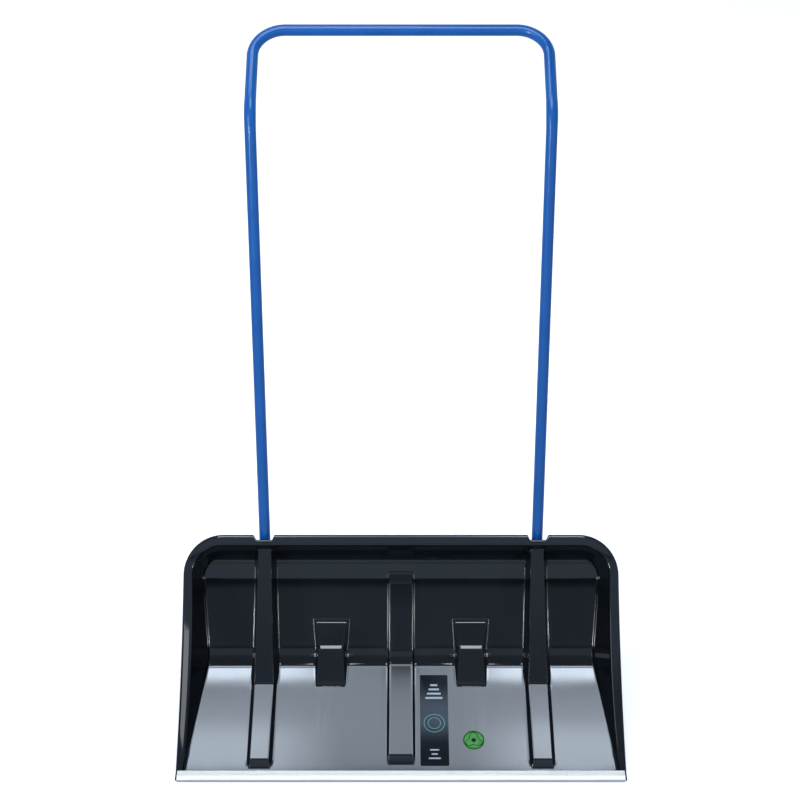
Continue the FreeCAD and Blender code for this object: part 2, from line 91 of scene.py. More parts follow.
# ---- Sizes of the scoop, in mm ----
SHELL = 3.2
FLOOR_START_Y = 3.0
FLOOR_HEIGHT = 4.6
FLOOR_RISE = 0.0735
WALL_FOOT = (257.0, 39.0)
WALL_RISE = 1.0575
FLOOR_WALL_RADIUS = 54.0
WALL_TOP_RADIUS = 38.0
WALL_BAND = (337.6, 1.29)     # where the wall turns steeper under its top, and that slope
WALL_EASE = (325.0, 1.0115)   # the middle of a slow curve below that, and the slope it reaches
EASE_RADIUS = 1100.0          # of that slow curve
BAND_RADIUS = 3.0             # where the wall turns steeper
RIM_FRONT = (12.0, 4.0)
RIM_TOP = (359.9, 212.1)
RIM_SAG = 22.0
MOUTH_HALF = 363.0
MOUTH_REACH = 388.9
SIDE_TAPER, SIDE_SLANT = 0.27, 1.036   # how far a wall leans out, and its length per mm of depth
TOP_TAPER, TOP_SLANT = 0.30, 1.044
WALL_START = 3.6              # the walls begin this far below the rim
BACK_START = 1.9              # the same on the back, per mm of shell
MOUTH_RADIUS = 52.0
RIM_HALF = 375.0
RIM_RADIUS = 68.0
RIM_FOLD = 12.0
RIM_CROWN = 0.9
RIM_BEAD = 1.4
FOLD_WALL = 2.8
GROUND_GAP = 0.8
SOCKET_X = 236.0
HOUSING_X = 121.5
AXLE_Y = 242.5
AXLE_Z = 27.0
NOTCH_HALF = 15.5
NOTCH_DEPTH = 8.6

# ---- Rim frame: s runs up the line between the rim's ends, d runs into the scoop ----
RIM_LENGTH = math.hypot(RIM_TOP[0] - RIM_FRONT[0], RIM_TOP[1] - RIM_FRONT[1])
ALONG = ((RIM_TOP[0] - RIM_FRONT[0]) / RIM_LENGTH, (RIM_TOP[1] - RIM_FRONT[1]) / RIM_LENGTH)
INWARD = (ALONG[1], -ALONG[0])


def to_rim(y, z):
    """Side-view point to rim frame."""
    u, v = y - RIM_FRONT[0], z - RIM_FRONT[1]
    return u * ALONG[0] + v * ALONG[1], u * INWARD[0] + v * INWARD[1]


def from_rim(s, d):
    return RIM_FRONT[0] + s * ALONG[0] + d * INWARD[0], RIM_FRONT[1] + s * ALONG[1] + d * INWARD[1]


def rim_depth(s):
    """How far the rim's side line bows into the scoop."""
    share = s / RIM_LENGTH
    return 4 * RIM_SAG * share * (1 - share)


# ---- Soft minimum and maximum, which leave a rounded edge ----
def soft_min(a, b, k):
    k = np.maximum(k, 1e-6)
    h = np.maximum(k - np.abs(a - b), 0) / k
    return np.minimum(a, b) - h * h * k / 4


def soft_max(a, b, k):
    return -soft_min(-a, -b, k)


# ---- Side view of the scoop ----
def line_through(point, rise, behind):
    """z = m y + c, moved square to itself by `behind` mm, down and back."""
    shift = behind * math.hypot(1, rise)
    return rise, point[1] - rise * point[0] - shift


def meet(a, b):
    y = (b[1] - a[1]) / (a[0] - b[0])
    return np.array((y, a[0] * y + a[1]))


def rounded(points, radii, step=1.0):
    """A polyline with its inner corners rounded by arcs, as closely spaced points."""
    pts = [np.array(p, float) for p in points]
    out = [pts[0]]
    for p, before, after, radius in zip(pts[1:-1], pts[:-2], pts[2:], radii):
        a = (before - p) / np.linalg.norm(before - p)
        b = (after - p) / np.linalg.norm(after - p)
        half = math.acos(max(-1, min(1, float(a @ b)))) / 2
        reach = radius / math.tan(half)
        middle = p + (a + b) / np.linalg.norm(a + b) * (radius / math.sin(half))
        start, end = p + a * reach, p + b * reach
        turn = math.pi - 2 * half
        count = max(4, int(radius * turn / step))
        for t in np.linspace(0, 1, count + 1):
            ray = (start - middle) * math.sin((1 - t) * turn) + (end - middle) * math.sin(t * turn)
            out.append(middle + ray / math.sin(turn))
    out.append(pts[-1])
    return np.array(out)


def dense(points):
    """Adds points to a polyline, about 1 mm apart."""
    out = []
    for a, b in zip(points[:-1], points[1:]):
        count = max(1, int(np.linalg.norm(b - a)))
        out += [a + (b - a) * t for t in np.arange(count) / count]
    return np.array(out + [points[-1]])


def side_view(behind):
    """The floor, back wall and top wall in the side view, `behind` mm outside the inner surface."""
    floor = line_through((0, FLOOR_HEIGHT), FLOOR_RISE, behind)
    wall = line_through(WALL_FOOT, WALL_RISE, behind)
    reach = MOUTH_REACH + behind * math.hypot(1, TOP_TAPER)
    low = np.array(from_rim(reach - TOP_TAPER * 80.0, 80.0))
    high = np.array(from_rim(reach + TOP_TAPER * 30.0, -30.0))
    run = (high[1] - low[1]) / (high[0] - low[0])
    top = (run, low[1] - run * low[0])
    start = np.array((FLOOR_START_Y, floor[0] * FLOOR_START_Y + floor[1]))
    ease_point = (WALL_EASE[0], WALL_FOOT[1] + WALL_RISE * (WALL_EASE[0] - WALL_FOOT[0]))
    ease = line_through(ease_point, WALL_EASE[1], behind)
    band_z = ease_point[1] + WALL_EASE[1] * (WALL_BAND[0] - WALL_EASE[0])
    band = line_through((WALL_BAND[0], band_z), WALL_BAND[1], behind)
    corners = [start, meet(floor, wall), meet(wall, ease), meet(ease, band), meet(band, top), high]
    radii = (FLOOR_WALL_RADIUS + behind, EASE_RADIUS, BAND_RADIUS + behind, WALL_TOP_RADIUS + behind)
    return dense(rounded(corners, radii))


class Side:
    """Depth of a side-view line as a function of s, in the rim frame."""

    def __init__(self, points):
        s, d = to_rim(points[:, 0], points[:, 1])
        order = np.argsort(s)
        self.s, self.d = s[order], d[order]

    def __call__(self, s):
        return np.interp(s, self.s, self.d)


def ridge_line(points, radii):
    """The face line of a raised feature, in the side view, with rounded corners."""
    return Side(dense(rounded(points, radii, 0.5)))


# ---- Raised features: sockets, centre rib, wheel housings ----
def floor_z(y):
    return FLOOR_HEIGHT + FLOOR_RISE * y


def wall_z(y):
    return WALL_FOOT[1] + WALL_RISE * (y - WALL_FOOT[0])


def stations(pairs):
    """Half widths at side-view points, as a function of s."""
    s = [to_rim(*point)[0] for point, _ in pairs]
    half = [value for _, value in pairs]
    return lambda where: np.interp(where, s, half)


FOOT_CORNER_Y = (FLOOR_HEIGHT - WALL_FOOT[1] + WALL_RISE * WALL_FOOT[0]) / (WALL_RISE - FLOOR_RISE)
RIB_HEIGHT = 8.0
RIB_TOP_Y = 332.0
wall_lean = math.hypot(1, WALL_RISE)
rib_foot_front = (34.0, floor_z(34.0) - 1.5)
rib_face_front = (43.5, floor_z(43.5) + RIB_HEIGHT)
rib_bend = (FOOT_CORNER_Y - 7.0, floor_z(FOOT_CORNER_Y - 7.0) + RIB_HEIGHT)
rib_face_top = (RIB_TOP_Y - RIB_HEIGHT * WALL_RISE / wall_lean,
                wall_z(RIB_TOP_Y) + RIB_HEIGHT / wall_lean + 0.3)
rib_end = (RIB_TOP_Y + 14.0, wall_z(RIB_TOP_Y + 14.0) - 2.0)

FEATURES = {
    "rib": dict(
        x=0.0,
        line=ridge_line([rib_foot_front, rib_face_front, rib_bend, rib_face_top, rib_end],
                        (1.6, 40.0, 6.0)),
        half=stations([(rib_face_front, 20.6), (rib_face_top, 20.0)]),
        spread=lambda h: 2.2 + 0.10 * h, edge=1.7, base=1.2),
    "housing": dict(
        x=HOUSING_X,
        line=ridge_line([(178.0, 11.4), (230.5, 59.5), (236.8, 60.98), (312.0, 74.9)], (3.0, 40.0)),
        half=stations([((181.0, 14.6), 25.0), ((230.5, 60.5), 21.4), ((290.0, 70.7), 31.6)]),
        spread=lambda h: 0.9 + 0.15 * h, edge=2.0, base=1.4),
    "socket": dict(
        x=SOCKET_X,
        line=ridge_line([(21.0, -3.0), (32.8, 18.0), (180.0, 28.9), (376.0, 207.8)], (2.4, 5.0)),
        half=stations([((32.8, 18.0), 16.0), ((180.0, 28.9), 16.6), ((351.0, 185.0), 10.8)]),
        spread=lambda h: np.minimum(2.6 + 0.20 * h, 7.5), edge=1.9, base=1.3),
}
FACE_STEPS, SIDE_STEPS, ARC_STEPS = 8, 6, 4


def corner_curve(start, corner, end, steps):
    """Points of a curved corner, as two coordinate lists; each input is a pair of arrays."""
    out = []
    for t in np.linspace(0, 1, steps + 1):
        a, b, c = (1 - t) ** 2, 2 * t * (1 - t), t * t
        out.append(tuple(a * start[k] + b * corner[k] + c * end[k] for k in (0, 1)))
    return out


def half_bump(feature, s, base_depth, behind):
    """Cross-section of one half of a raised feature: lists of (distance from its middle, height)."""
    height = base_depth - feature["line"](s) - behind * 1.08
    height = soft_max(height, 0.0, 3.0 if behind == 0 else 1.5)
    face = feature["half"](s) - 0.96 * behind
    side = np.hypot(feature["spread"](height), height)
    foot = face + feature["spread"](height)
    turn = np.arctan2(height, foot - face)
    edge = feature["edge"] if behind == 0 else 0.8
    base = feature["base"] if behind == 0 else feature["base"] + behind
    edge_reach = np.clip(edge * np.tan(turn / 2), 0.25, 0.4 * side)
    base_reach = np.clip(base * np.tan(turn / 2), 0.25, 0.5 * side)
    down = ((foot - face) / side, -height / side)
    top_start = (face - edge_reach, height)
    top_end = (face + down[0] * edge_reach, height + down[1] * edge_reach)
    low_start = (foot - down[0] * base_reach, -down[1] * base_reach)
    low_end = (foot + base_reach, 0 * height)
    points = [((face - edge_reach) * t, height) for t in np.arange(FACE_STEPS) / FACE_STEPS]
    points += corner_curve(top_start, (face, height), top_end, ARC_STEPS)
    for t in np.arange(1, SIDE_STEPS) / SIDE_STEPS:
        points.append(tuple(top_end[k] + (low_start[k] - top_end[k]) * t for k in (0, 1)))
    points += corner_curve(low_start, (foot, 0 * height), low_end, ARC_STEPS)
    return points


def half_columns(s, base_depth, behind, wall_start, wall_foot):
    """X and lift of every column from the middle out to the mouth's edge, for rows at s."""
    xs, lifts = [], []

    def add(x, lift):
        xs.append(x + 0 * s)
        lifts.append(lift + 0 * s)

    def gap(to, count):
        start = xs[-1].copy()
        for t in np.arange(1, count) / count:
            add(start + (to - start) * t, 0.0)

    for x, lift in half_bump(FEATURES["rib"], s, base_depth, behind):
        add(x, lift)
    for name, count in (("housing", 18), ("socket", 18)):
        feature = FEATURES[name]
        points = half_bump(feature, s, base_depth, behind)
        gap(feature["x"] - points[-1][0], count)
        for x, lift in points[:0:-1]:
            add(feature["x"] - x, lift)
        for x, lift in points:
            add(feature["x"] + x, lift)
    room = np.clip((wall_start - wall_foot) * -0.4, 0.5, 4.0)
    gap(MOUTH_HALF - wall_foot - room - 5.0, 20)
    for t in (5.0, 3.0, 1.4):
        add(MOUTH_HALF - wall_foot - room - t, 0.0)
    for t in np.linspace(-1, 1, 9):
        add(MOUTH_HALF - wall_foot + room * t, 0.0)
    gap(MOUTH_HALF - wall_start, 12)
    add(MOUTH_HALF - wall_start, 0.0)
    return np.array(xs).T, np.array(lifts).T


# ---- Rows up the scoop ----
def row_places():
    """s of every row: even steps along the side view, with extra rows at the ends of features."""
    points = side_view(0.0)
    s, _ = to_rim(points[:, 0], points[:, 1])
    last = MOUTH_REACH - TOP_TAPER * (rim_depth(MOUTH_REACH) + WALL_START)
    length = np.concatenate([[0], np.cumsum(np.hypot(*np.diff(points, axis=0).T))])
    end = np.interp(last, s, length)
    rows = list(np.interp(np.linspace(0, end, 190), length, s))
    for point in ((24.0, 6.5), (32.8, 18.0), rib_foot_front, rib_face_front, (184.0, 17.0),
                  (180.0, 28.9), (230.5, 60.5), rib_face_top, (RIB_TOP_Y + 8, wall_z(RIB_TOP_Y + 8))):
        middle = to_rim(*point)[0]
        rows += [middle + step for step in (-3.2, -2.2, -1.3, -0.5, 0.3, 1.1, 2.0, 3.0)]
    rows = sorted(r for r in rows if s[0] <= r <= last)
    kept = [rows[0]]
    for r in rows[1:-1]:
        if r - kept[-1] > 0.45:
            kept.append(r)
    return np.array(kept + [last])


ROWS = row_places()


def bend_round_corner(x, s):
    """Bends the square corner of the grid round the mouth's rounded corner."""
    a, b = MOUTH_HALF - np.abs(x), MOUTH_REACH - s
    inside = (a < MOUTH_RADIUS) & (b < MOUTH_RADIUS)
    inset = np.minimum(a, b)
    radius = np.maximum(MOUTH_RADIUS - inset, 1e-6)
    on_side = a <= b
    share = (MOUTH_RADIUS - np.where(on_side, b, a)) / radius
    angle = np.clip(share, 0, 1) * math.pi / 4
    near, far = MOUTH_RADIUS - radius * np.cos(angle), MOUTH_RADIUS - radius * np.sin(angle)
    new_a = np.where(inside, np.where(on_side, near, far), a)
    new_b = np.where(inside, np.where(on_side, far, near), b)
    return np.sign(x) * (MOUTH_HALF - new_a), MOUTH_REACH - new_b


def wall_depth(x, s, behind):
    """Depth of the side walls, with their rounded top corners, and how far a point is round a corner."""
    a, b = MOUTH_HALF - np.abs(x), MOUTH_REACH - s
    a, b = a + behind * SIDE_SLANT, b + behind * TOP_SLANT
    radius = MOUTH_RADIUS + behind
    corner = (a < radius) & (b < radius)
    side, top = radius - a, radius - b
    inset = np.where(corner, radius - np.hypot(side, top), a)
    turn = np.where(corner, np.arctan2(top, np.maximum(side, 1e-9)) / (math.pi / 2), 0.0)
    taper = SIDE_TAPER + (TOP_TAPER - SIDE_TAPER) * turn
    depth = np.where((b < radius) & (a >= radius), 1e4, inset / taper)
    return depth, turn


def inner_grid(behind):
    """The floor and walls as a grid of (x, s, d); `behind` is 0 for the inside and SHELL for the back."""
    side = Side(side_view(behind))
    base = side(ROWS)
    wall_start = SIDE_TAPER * (rim_depth(ROWS) + WALL_START + behind * BACK_START) - behind * SIDE_SLANT
    wall_foot = np.maximum(SIDE_TAPER * base - behind * SIDE_SLANT, wall_start + 1.6)
    x, lift = half_columns(ROWS, base, behind, wall_start, wall_foot)
    x = np.concatenate([-x[:, :0:-1], x], axis=1)
    lift = np.concatenate([lift[:, :0:-1], lift], axis=1)
    s = np.repeat(ROWS[:, None], x.shape[1], axis=1)
    x, s = bend_round_corner(x, s)
    floor = side(s)
    wall, turn = wall_depth(x, s, behind)
    depth = soft_min(floor, wall, 13.0 * np.cos(turn * math.pi / 2) ** 2)
    return x, s, depth - lift


def notch(x):
    """How far the rim's top edge is cut down where the tube passes."""
    away = np.abs(np.abs(x) - SOCKET_X)
    return NOTCH_DEPTH * np.clip((NOTCH_HALF + 1.0 - away) / 2.4, 0, 1) ** 0.7


def outer_edge(x, s):
    """The point on the rim's outer edge that belongs to a point on the mouth's edge."""
    a, b = MOUTH_HALF - np.abs(x), MOUTH_REACH - s
    corner = (a < MOUTH_RADIUS) & (b < MOUTH_RADIUS)
    angle = np.arctan2(MOUTH_RADIUS - b, np.maximum(MOUTH_RADIUS - a, 1e-9))
    on_top = (~corner) & (b < MOUTH_RADIUS)
    x_out = np.where(on_top, np.abs(x), RIM_HALF)
    s_out = np.where(on_top, RIM_LENGTH, s)
    share = np.clip((MOUTH_HALF - MOUTH_RADIUS - np.abs(x)) / 30.0, 0, 1)
    x_top = np.abs(x) - (1 - share) * (RIM_RADIUS - MOUTH_RADIUS - RIM_HALF + MOUTH_HALF)
    x_out = np.where(on_top, x_top, x_out)
    x_out = np.where(corner, RIM_HALF - RIM_RADIUS + RIM_RADIUS * np.cos(angle), x_out)
    s_out = np.where(corner, RIM_LENGTH - RIM_RADIUS + RIM_RADIUS * np.sin(angle), s_out)
    s_out = np.where(on_top, s_out - notch(x), s_out)
    return np.sign(x) * x_out, s_out


def border(x, s, behind):
    """Rows from the mouth's edge over the rim and down its fold, as lists of (x, s, d)."""
    rim = rim_depth(s)
    out_x, out_s = outer_edge(x, s)
    top = np.clip((s - (MOUTH_REACH - MOUTH_RADIUS)) / MOUTH_RADIUS, 0, 1)
    taper = SIDE_TAPER + (TOP_TAPER - SIDE_TAPER) * top
    way_x, way_s = out_x - x, out_s - s
    wide = np.hypot(way_x, way_s)
    way_x, way_s = way_x / wide, way_s / wide
    low = rim_depth(out_s)
    crown = RIM_CROWN * (1 - top) - RIM_BEAD * top
    if behind == 0:
        start_depth, flange, edge_in, fold_in, bend = WALL_START, 0.0, 2.6, 0.0, 4.2 + 1.2 * top
    else:
        start_depth = WALL_START + behind * BACK_START
        flange, edge_in, fold_in, bend = SHELL, 2.2, FOLD_WALL, 1.6
    corner_out = taper * (start_depth - flange)
    edge = (corner_out, rim + flange)
    last = wide - fold_in
    bend = np.clip(bend, 0.4, 0.55 * (last - corner_out - edge_in))
    rows = corner_curve((0 * rim, rim + start_depth), edge, (corner_out + edge_in, rim + flange), 4)[1:]
    for t in (0.2, 0.4, 0.6, 0.8):
        rows.append((corner_out + edge_in + (last - bend - corner_out - edge_in) * t,
                     rim + flange + (low - rim) * t + crown * t * t))
    edge_depth = low + crown + flange
    rows += corner_curve((last - bend, edge_depth), (last, edge_depth + 0.25 * bend),
                         (last, edge_depth + bend), 6)
    for t in (0.5, 1.0):
        rows.append((last, low + flange + bend + (RIM_FOLD - 0.7 - flange - bend) * t))
    rows.append((last + FOLD_WALL * (0.28 if behind else -0.28), low + RIM_FOLD))
    return [(x + way_x * out, s + way_s * out, depth) for out, depth in rows]


def boundary_indices(rows, columns):
    """The grid's border, from the front left up, across the top and down to the front right."""
    left = [(r, 0) for r in range(rows)]
    top = [(rows - 1, c) for c in range(1, columns)]
    right = [(r, columns - 1) for r in range(rows - 2, -1, -1)]
    return left + top + right


def scoop_sheet(behind, points, faces):
    """Adds one side of the scoop to a mesh; returns the loops to close it with."""
    x, s, d = inner_grid(behind)
    rows, columns = x.shape
    first = len(points)
    y, z = from_rim(s, d)
    share = (FLOOR_START_Y - y[1]) / (y[0] - y[1])
    z[0] = z[1] + (z[0] - z[1]) * share
    y[0] = FLOOR_START_Y
    points += list(zip(x.ravel(), y.ravel(), z.ravel()))
    index = first + np.arange(rows * columns).reshape(rows, columns)
    for r in range(rows - 1):
        for c in range(columns - 1):
            faces.append((index[r, c], index[r, c + 1], index[r + 1, c + 1], index[r + 1, c]))
    edge = boundary_indices(rows, columns)
    edge_x = np.array([x[i] for i in edge])
    edge_s = np.array([s[i] for i in edge])
    loop = [index[i] for i in edge]
    front = [index[0, c] for c in range(columns)]
    ends = ([], [])
    for bx, bs, bd in border(edge_x, edge_s, behind):
        by, bz = from_rim(bs, bd)
        bz = np.maximum(bz, GROUND_GAP)
        for end in (0, -1):
            by[end] = FLOOR_START_Y
        start = len(points)
        points += list(zip(bx, by, bz))
        new = list(range(start, start + len(bx)))
        for k in range(len(loop) - 1):
            faces.append((loop[k], loop[k + 1], new[k + 1], new[k]))
        loop = new
        ends[0].append(new[0])
        ends[1].append(new[-1])
    return loop, list(reversed(ends[0])) + front + ends[1]


# ---- Meshes and the scoop shell ----
SHARP_ANGLE = 38.0             # degrees; wider edges than this are drawn sharp


def add_object(name, data):
    obj = bpy.data.objects.new(name, data)
    bpy.context.scene.collection.objects.link(obj)
    return obj


def mesh_object(name, points, faces, material, sharp=SHARP_ANGLE):
    mesh = bpy.data.meshes.new(name)
    mesh.from_pydata([tuple(place(*p)) for p in points], [], [tuple(int(i) for i in f) for f in faces])
    mesh.validate()
    mesh.update()
    for polygon in mesh.polygons:
        polygon.use_smooth = True
    mesh.set_sharp_from_angle(angle=math.radians(sharp))
    mesh.materials.append(material)
    return add_object(name, mesh)


def make_scoop_shell(material):
    points, faces = [], []
    loop, front = scoop_sheet(0.0, points, faces)
    inside_faces = len(faces)
    back_loop, back_front = scoop_sheet(SHELL, points, faces)
    faces[inside_faces:] = [tuple(reversed(f)) for f in faces[inside_faces:]]
    for k in range(len(loop) - 1):
        faces.append((loop[k], loop[k + 1], back_loop[k + 1], back_loop[k]))
    for k in range(len(front) - 1):
        faces.append((front[k], back_front[k], back_front[k + 1], front[k + 1]))
    return mesh_object("scoop_shell", points, faces, material)


# ---- More mesh helpers ----
def rounded_loop(points, radius, steps=3):
    """A closed outline with every corner rounded."""
    pts = [np.array(p, float) for p in points]
    out = []
    for k, p in enumerate(pts):
        before, after = pts[k - 1], pts[(k + 1) % len(pts)]
        reach = min(radius, 0.45 * np.linalg.norm(before - p), 0.45 * np.linalg.norm(after - p))
        start = p + (before - p) / np.linalg.norm(before - p) * reach
        end = p + (after - p) / np.linalg.norm(after - p) * reach
        for t in np.linspace(0, 1, steps + 1):
            out.append((1 - t) ** 2 * start + 2 * t * (1 - t) * p + t * t * end)
    return np.array(out)


def square_frame(axis):
    """Two directions square to an axis and to each other."""
    axis = Vector(axis).normalized()
    first = axis.orthogonal().normalized() if abs(axis.x) < 0.9 else Vector((0, 0, 1))
    return axis, first, axis.cross(first)


def lathe(name, outline, centre, axis, material, steps=48):
    """Turns a closed outline of (distance along the axis, radius) round an axis through centre."""
    axis, first, second = square_frame(axis)
    centre = Vector(centre)
    points, faces = [], []
    count = len(outline)
    for k in range(steps):
        angle = 2 * math.pi * k / steps
        ray = first * math.cos(angle) + second * math.sin(angle)
        points += [centre + axis * float(a) + ray * float(r) for a, r in outline]
    for k in range(steps):
        near, far = k * count, ((k + 1) % steps) * count
        for j in range(count):
            nxt = (j + 1) % count
            faces.append((near + j, near + nxt, far + nxt, far + j))
    return mesh_object(name, points, faces, material)


def sweep(name, sections, material, sharp=50.0):
    """Joins cross-sections into a closed skin with flat ends."""
    points = [p for section in sections for p in section]
    count = len(sections[0])
    faces = []
    for k in range(len(sections) - 1):
        for j in range(count):
            nxt = (j + 1) % count
            faces.append((k * count + j, k * count + nxt, (k + 1) * count + nxt, (k + 1) * count + j))
    faces.append(tuple(reversed(range(count))))
    faces.append(tuple(range((len(sections) - 1) * count, len(sections) * count)))
    return mesh_object(name, points, faces, material, sharp)


def prism(name, outline, origin, across, up, along, length, material, bevel=0.0):
    """Extrudes a closed outline of (across, up) along a direction, with a small bevel at both ends."""
    origin, across, up, along = (Vector(v) for v in (origin, across, up, along))
    middle = np.mean(outline, axis=0)
    rings = [(0.0, bevel), (length, bevel)]
    if bevel:
        rings[1:1] = [(bevel, 0.0), (length - bevel, 0.0)]
    sections = []
    for where, inset in rings:
        size = np.maximum(np.abs(outline - middle).max(axis=0), 1e-6)
        ring = middle + (outline - middle) * (1 - inset / size)
        sections.append([origin + along * where + across * float(a) + up * float(b) for a, b in ring])
    return fix_outside(sweep(name, sections, material, SHARP_ANGLE))


def fix_outside(obj):
    """Turns faces outward."""
    mesh = bmesh.new()
    mesh.from_mesh(obj.data)
    bmesh.ops.recalc_face_normals(mesh, faces=mesh.faces)
    mesh.to_mesh(obj.data)
    mesh.free()
    return obj


def join(name, objects):
    """Joins pieces into one object made of separate closed parts."""
    first = objects[0]
    with bpy.context.temp_override(active_object=first, selected_editable_objects=objects):
        bpy.ops.object.join()
    first.name = name
    first.data.name = name
    return first


def settle(obj, body, slot, *nodes):
    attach(obj, body)
    if nodes:
        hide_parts(*nodes)


# ---- Materials ----
class Nodes:
    """Short calls that add nodes to the tree of a material or world."""

    def __init__(self, owner):
        owner.use_nodes = True
        self.nodes, self.links = owner.node_tree.nodes, owner.node_tree.links

    def add(self, kind, output, inputs=None, **settings):
        """Adds a node; its inputs are values to set or sockets to link. Returns one output."""
        node = self.nodes.new("ShaderNode" + kind)
        for key, value in settings.items():
            setattr(node, key, value)
        for key, value in (inputs or {}).items():
            if isinstance(value, bpy.types.NodeSocket):
                self.links.new(value, node.inputs[key])
            else:
                node.inputs[key].default_value = value
        return node.outputs[output] if output else None


class Material(Nodes):
    """A node material with object coordinates, noise, ramps and bump in a few short calls."""

    def __init__(self, name, colour, roughness, metallic=0.0, ior=1.5):
        self.material = bpy.data.materials.new(name)
        super().__init__(self.material)
        self.shader = self.nodes["Principled BSDF"]
        self.set("Base Color", (*colour, 1.0))
        self.set("Roughness", roughness)
        self.set("Metallic", metallic)
        self.set("IOR", ior)
        self.place = self.add("TexCoord", "Object")
        self.normal = None

    def set(self, socket, value):
        self.shader.inputs[socket].default_value = value

    def noise(self, size, detail=3.0, stretch=(1, 1, 1), rough=0.55):
        """Noise with features about `size` metres across, longer where stretch is above 1."""
        scale = [1 / (size * s) for s in stretch]
        place = self.add("Mapping", "Vector", {"Scale": scale, "Vector": self.place})
        return self.add("TexNoise", "Fac", {"Scale": 1.0, "Detail": detail, "Roughness": rough,
                                            "Vector": place})

    def remap(self, value, low, high, to_low, to_high, smooth=False):
        return self.add("MapRange", "Result", {"Value": value, "From Min": low, "From Max": high,
                                               "To Min": to_low, "To Max": to_high},
                        interpolation_type="SMOOTHSTEP" if smooth else "LINEAR")

    def math(self, operation, a, b=0.0):
        return self.add("Math", "Value", {0: a, 1: b}, operation=operation)

    def times(self, a, b):
        return self.math("MULTIPLY", a, b)

    def vary(self, size, detail, low, high):
        """Noise spread over `low` to `high`."""
        return self.remap(self.noise(size, detail), 0.3, 0.7, low, high)

    def mix(self, factor, a, b):
        a, b = ((*value, 1.0) if isinstance(value, tuple) else value for value in (a, b))
        return self.add("Mix", 2, {0: factor, 6: a, 7: b}, data_type="RGBA")

    def axis(self, name):
        return self.add("SeparateXYZ", name, {"Vector": self.place})

    def colour(self, value):
        self.links.new(value, self.shader.inputs["Base Color"])

    def roughness(self, value):
        self.links.new(value, self.shader.inputs["Roughness"])

    def bump(self, height, depth):
        """Adds a bump of `depth` metres on top of any before it."""
        inputs = {"Distance": depth, "Height": height}
        if self.normal is not None:
            inputs["Normal"] = self.normal
        self.normal = self.add("Bump", "Normal", inputs)
        self.links.new(self.normal, self.shader.inputs["Normal"])

    def edge_wear(self, low, high):
        """1 on sharp outer edges, 0 elsewhere."""
        return self.remap(self.add("NewGeometry", "Pointiness"), low, high, 0.0, 1.0)


def black_plastic():
    m = Material("black_plastic", (0.003, 0.004, 0.006), 0.09, ior=1.5)
    tone = m.mix(m.vary(0.09, 4.0, 0.0, 1.0), (0.0022, 0.0030, 0.0046), (0.0038, 0.0050, 0.0070))
    scuffs = m.remap(m.noise(0.006, 5.0, (1, 9, 3)), 0.66, 0.82, 0.0, 1.0)
    m.colour(m.mix(m.times(scuffs, 0.30), tone, (0.030, 0.034, 0.040)))
    gloss = m.remap(m.noise(0.05, 5.0), 0.25, 0.75, 0.035, 0.065)
    m.roughness(m.math("ADD", gloss, m.times(scuffs, 0.08)))
    m.bump(m.noise(0.12, 2.0), 0.00008)
    m.bump(m.noise(0.0016, 3.0), 0.000005)
    # flow marks on the floor in front of the wheel housings
    beside = m.math("SUBTRACT", m.math("ABSOLUTE", m.axis("X")), HOUSING_X * MM)
    near = m.remap(m.math("ABSOLUTE", beside), 0.012, 0.026, 1.0, 0.0, True)
    back = m.remap(m.axis("Y"), FRONT_Y + 0.070, FRONT_Y + 0.165, 0.0, 1.0, True)
    stop = m.remap(m.axis("Y"), FRONT_Y + 0.185, FRONT_Y + 0.195, 1.0, 0.0, True)
    flow = m.times(m.times(near, back), stop)
    m.bump(m.times(flow, m.noise(0.009, 1.5, (1, 9, 9))), 0.00030)
    return m.material


def blue_paint():
    m = Material("blue_powder_coat", (0.003, 0.088, 0.35), 0.24, ior=1.45)
    tone = m.mix(m.vary(0.06, 4.0, 0.0, 1.0), (0.002, 0.085, 0.320), (0.004, 0.099, 0.370))
    m.colour(tone)
    m.roughness(m.vary(0.03, 4.0, 0.16, 0.24))
    m.bump(m.noise(0.0030, 2.0), 0.00001)
    return m.material


def brushed_aluminium():
    m = Material("brushed_aluminium", (0.40, 0.42, 0.45), 0.5, metallic=0.3)
    grain = m.noise(0.0011, 6.0, (90, 1, 1), 0.7)
    tone = m.mix(m.remap(grain, 0.3, 0.7, 0.0, 1.0), (0.61, 0.61, 0.58), (0.71, 0.70, 0.66))
    # painted highlight: the front 7.5 mm of the strip's top is coloured lighter
    painted_highlight = m.remap(m.axis("Y"), FRONT_Y + 0.0075, FRONT_Y + 0.0100, 1.0, 0.0, True)
    tone = m.mix(painted_highlight, tone, (0.86, 0.83, 0.78))
    # painted shade: the front 1.8 mm of the nose is coloured darker
    nose = m.remap(m.axis("Y"), FRONT_Y + 0.0008, FRONT_Y + 0.0018, 1.0, 0.0, True)
    tone = m.mix(nose, tone, (0.50, 0.48, 0.45))
    scratch = m.remap(m.noise(0.004, 5.0, (0.6, 5, 5)), 0.66, 0.74, 0.0, 1.0)
    m.colour(m.mix(m.times(scratch, 0.4), tone, (0.27, 0.28, 0.30)))
    m.roughness(m.remap(grain, 0.3, 0.7, 0.45, 0.60))
    m.bump(grain, 0.00003)
    return m.material


def zinc_steel(name, tint):
    m = Material(name, tint, 0.34, metallic=1.0)
    dark = tuple(c * 0.72 for c in tint)
    m.colour(m.mix(m.remap(m.noise(0.003, 5.0), 0.35, 0.65, 0.0, 1.0), dark, tint))
    m.roughness(m.vary(0.002, 4.0, 0.24, 0.46))
    m.bump(m.noise(0.0006, 3.0), 0.00001)
    return m.material


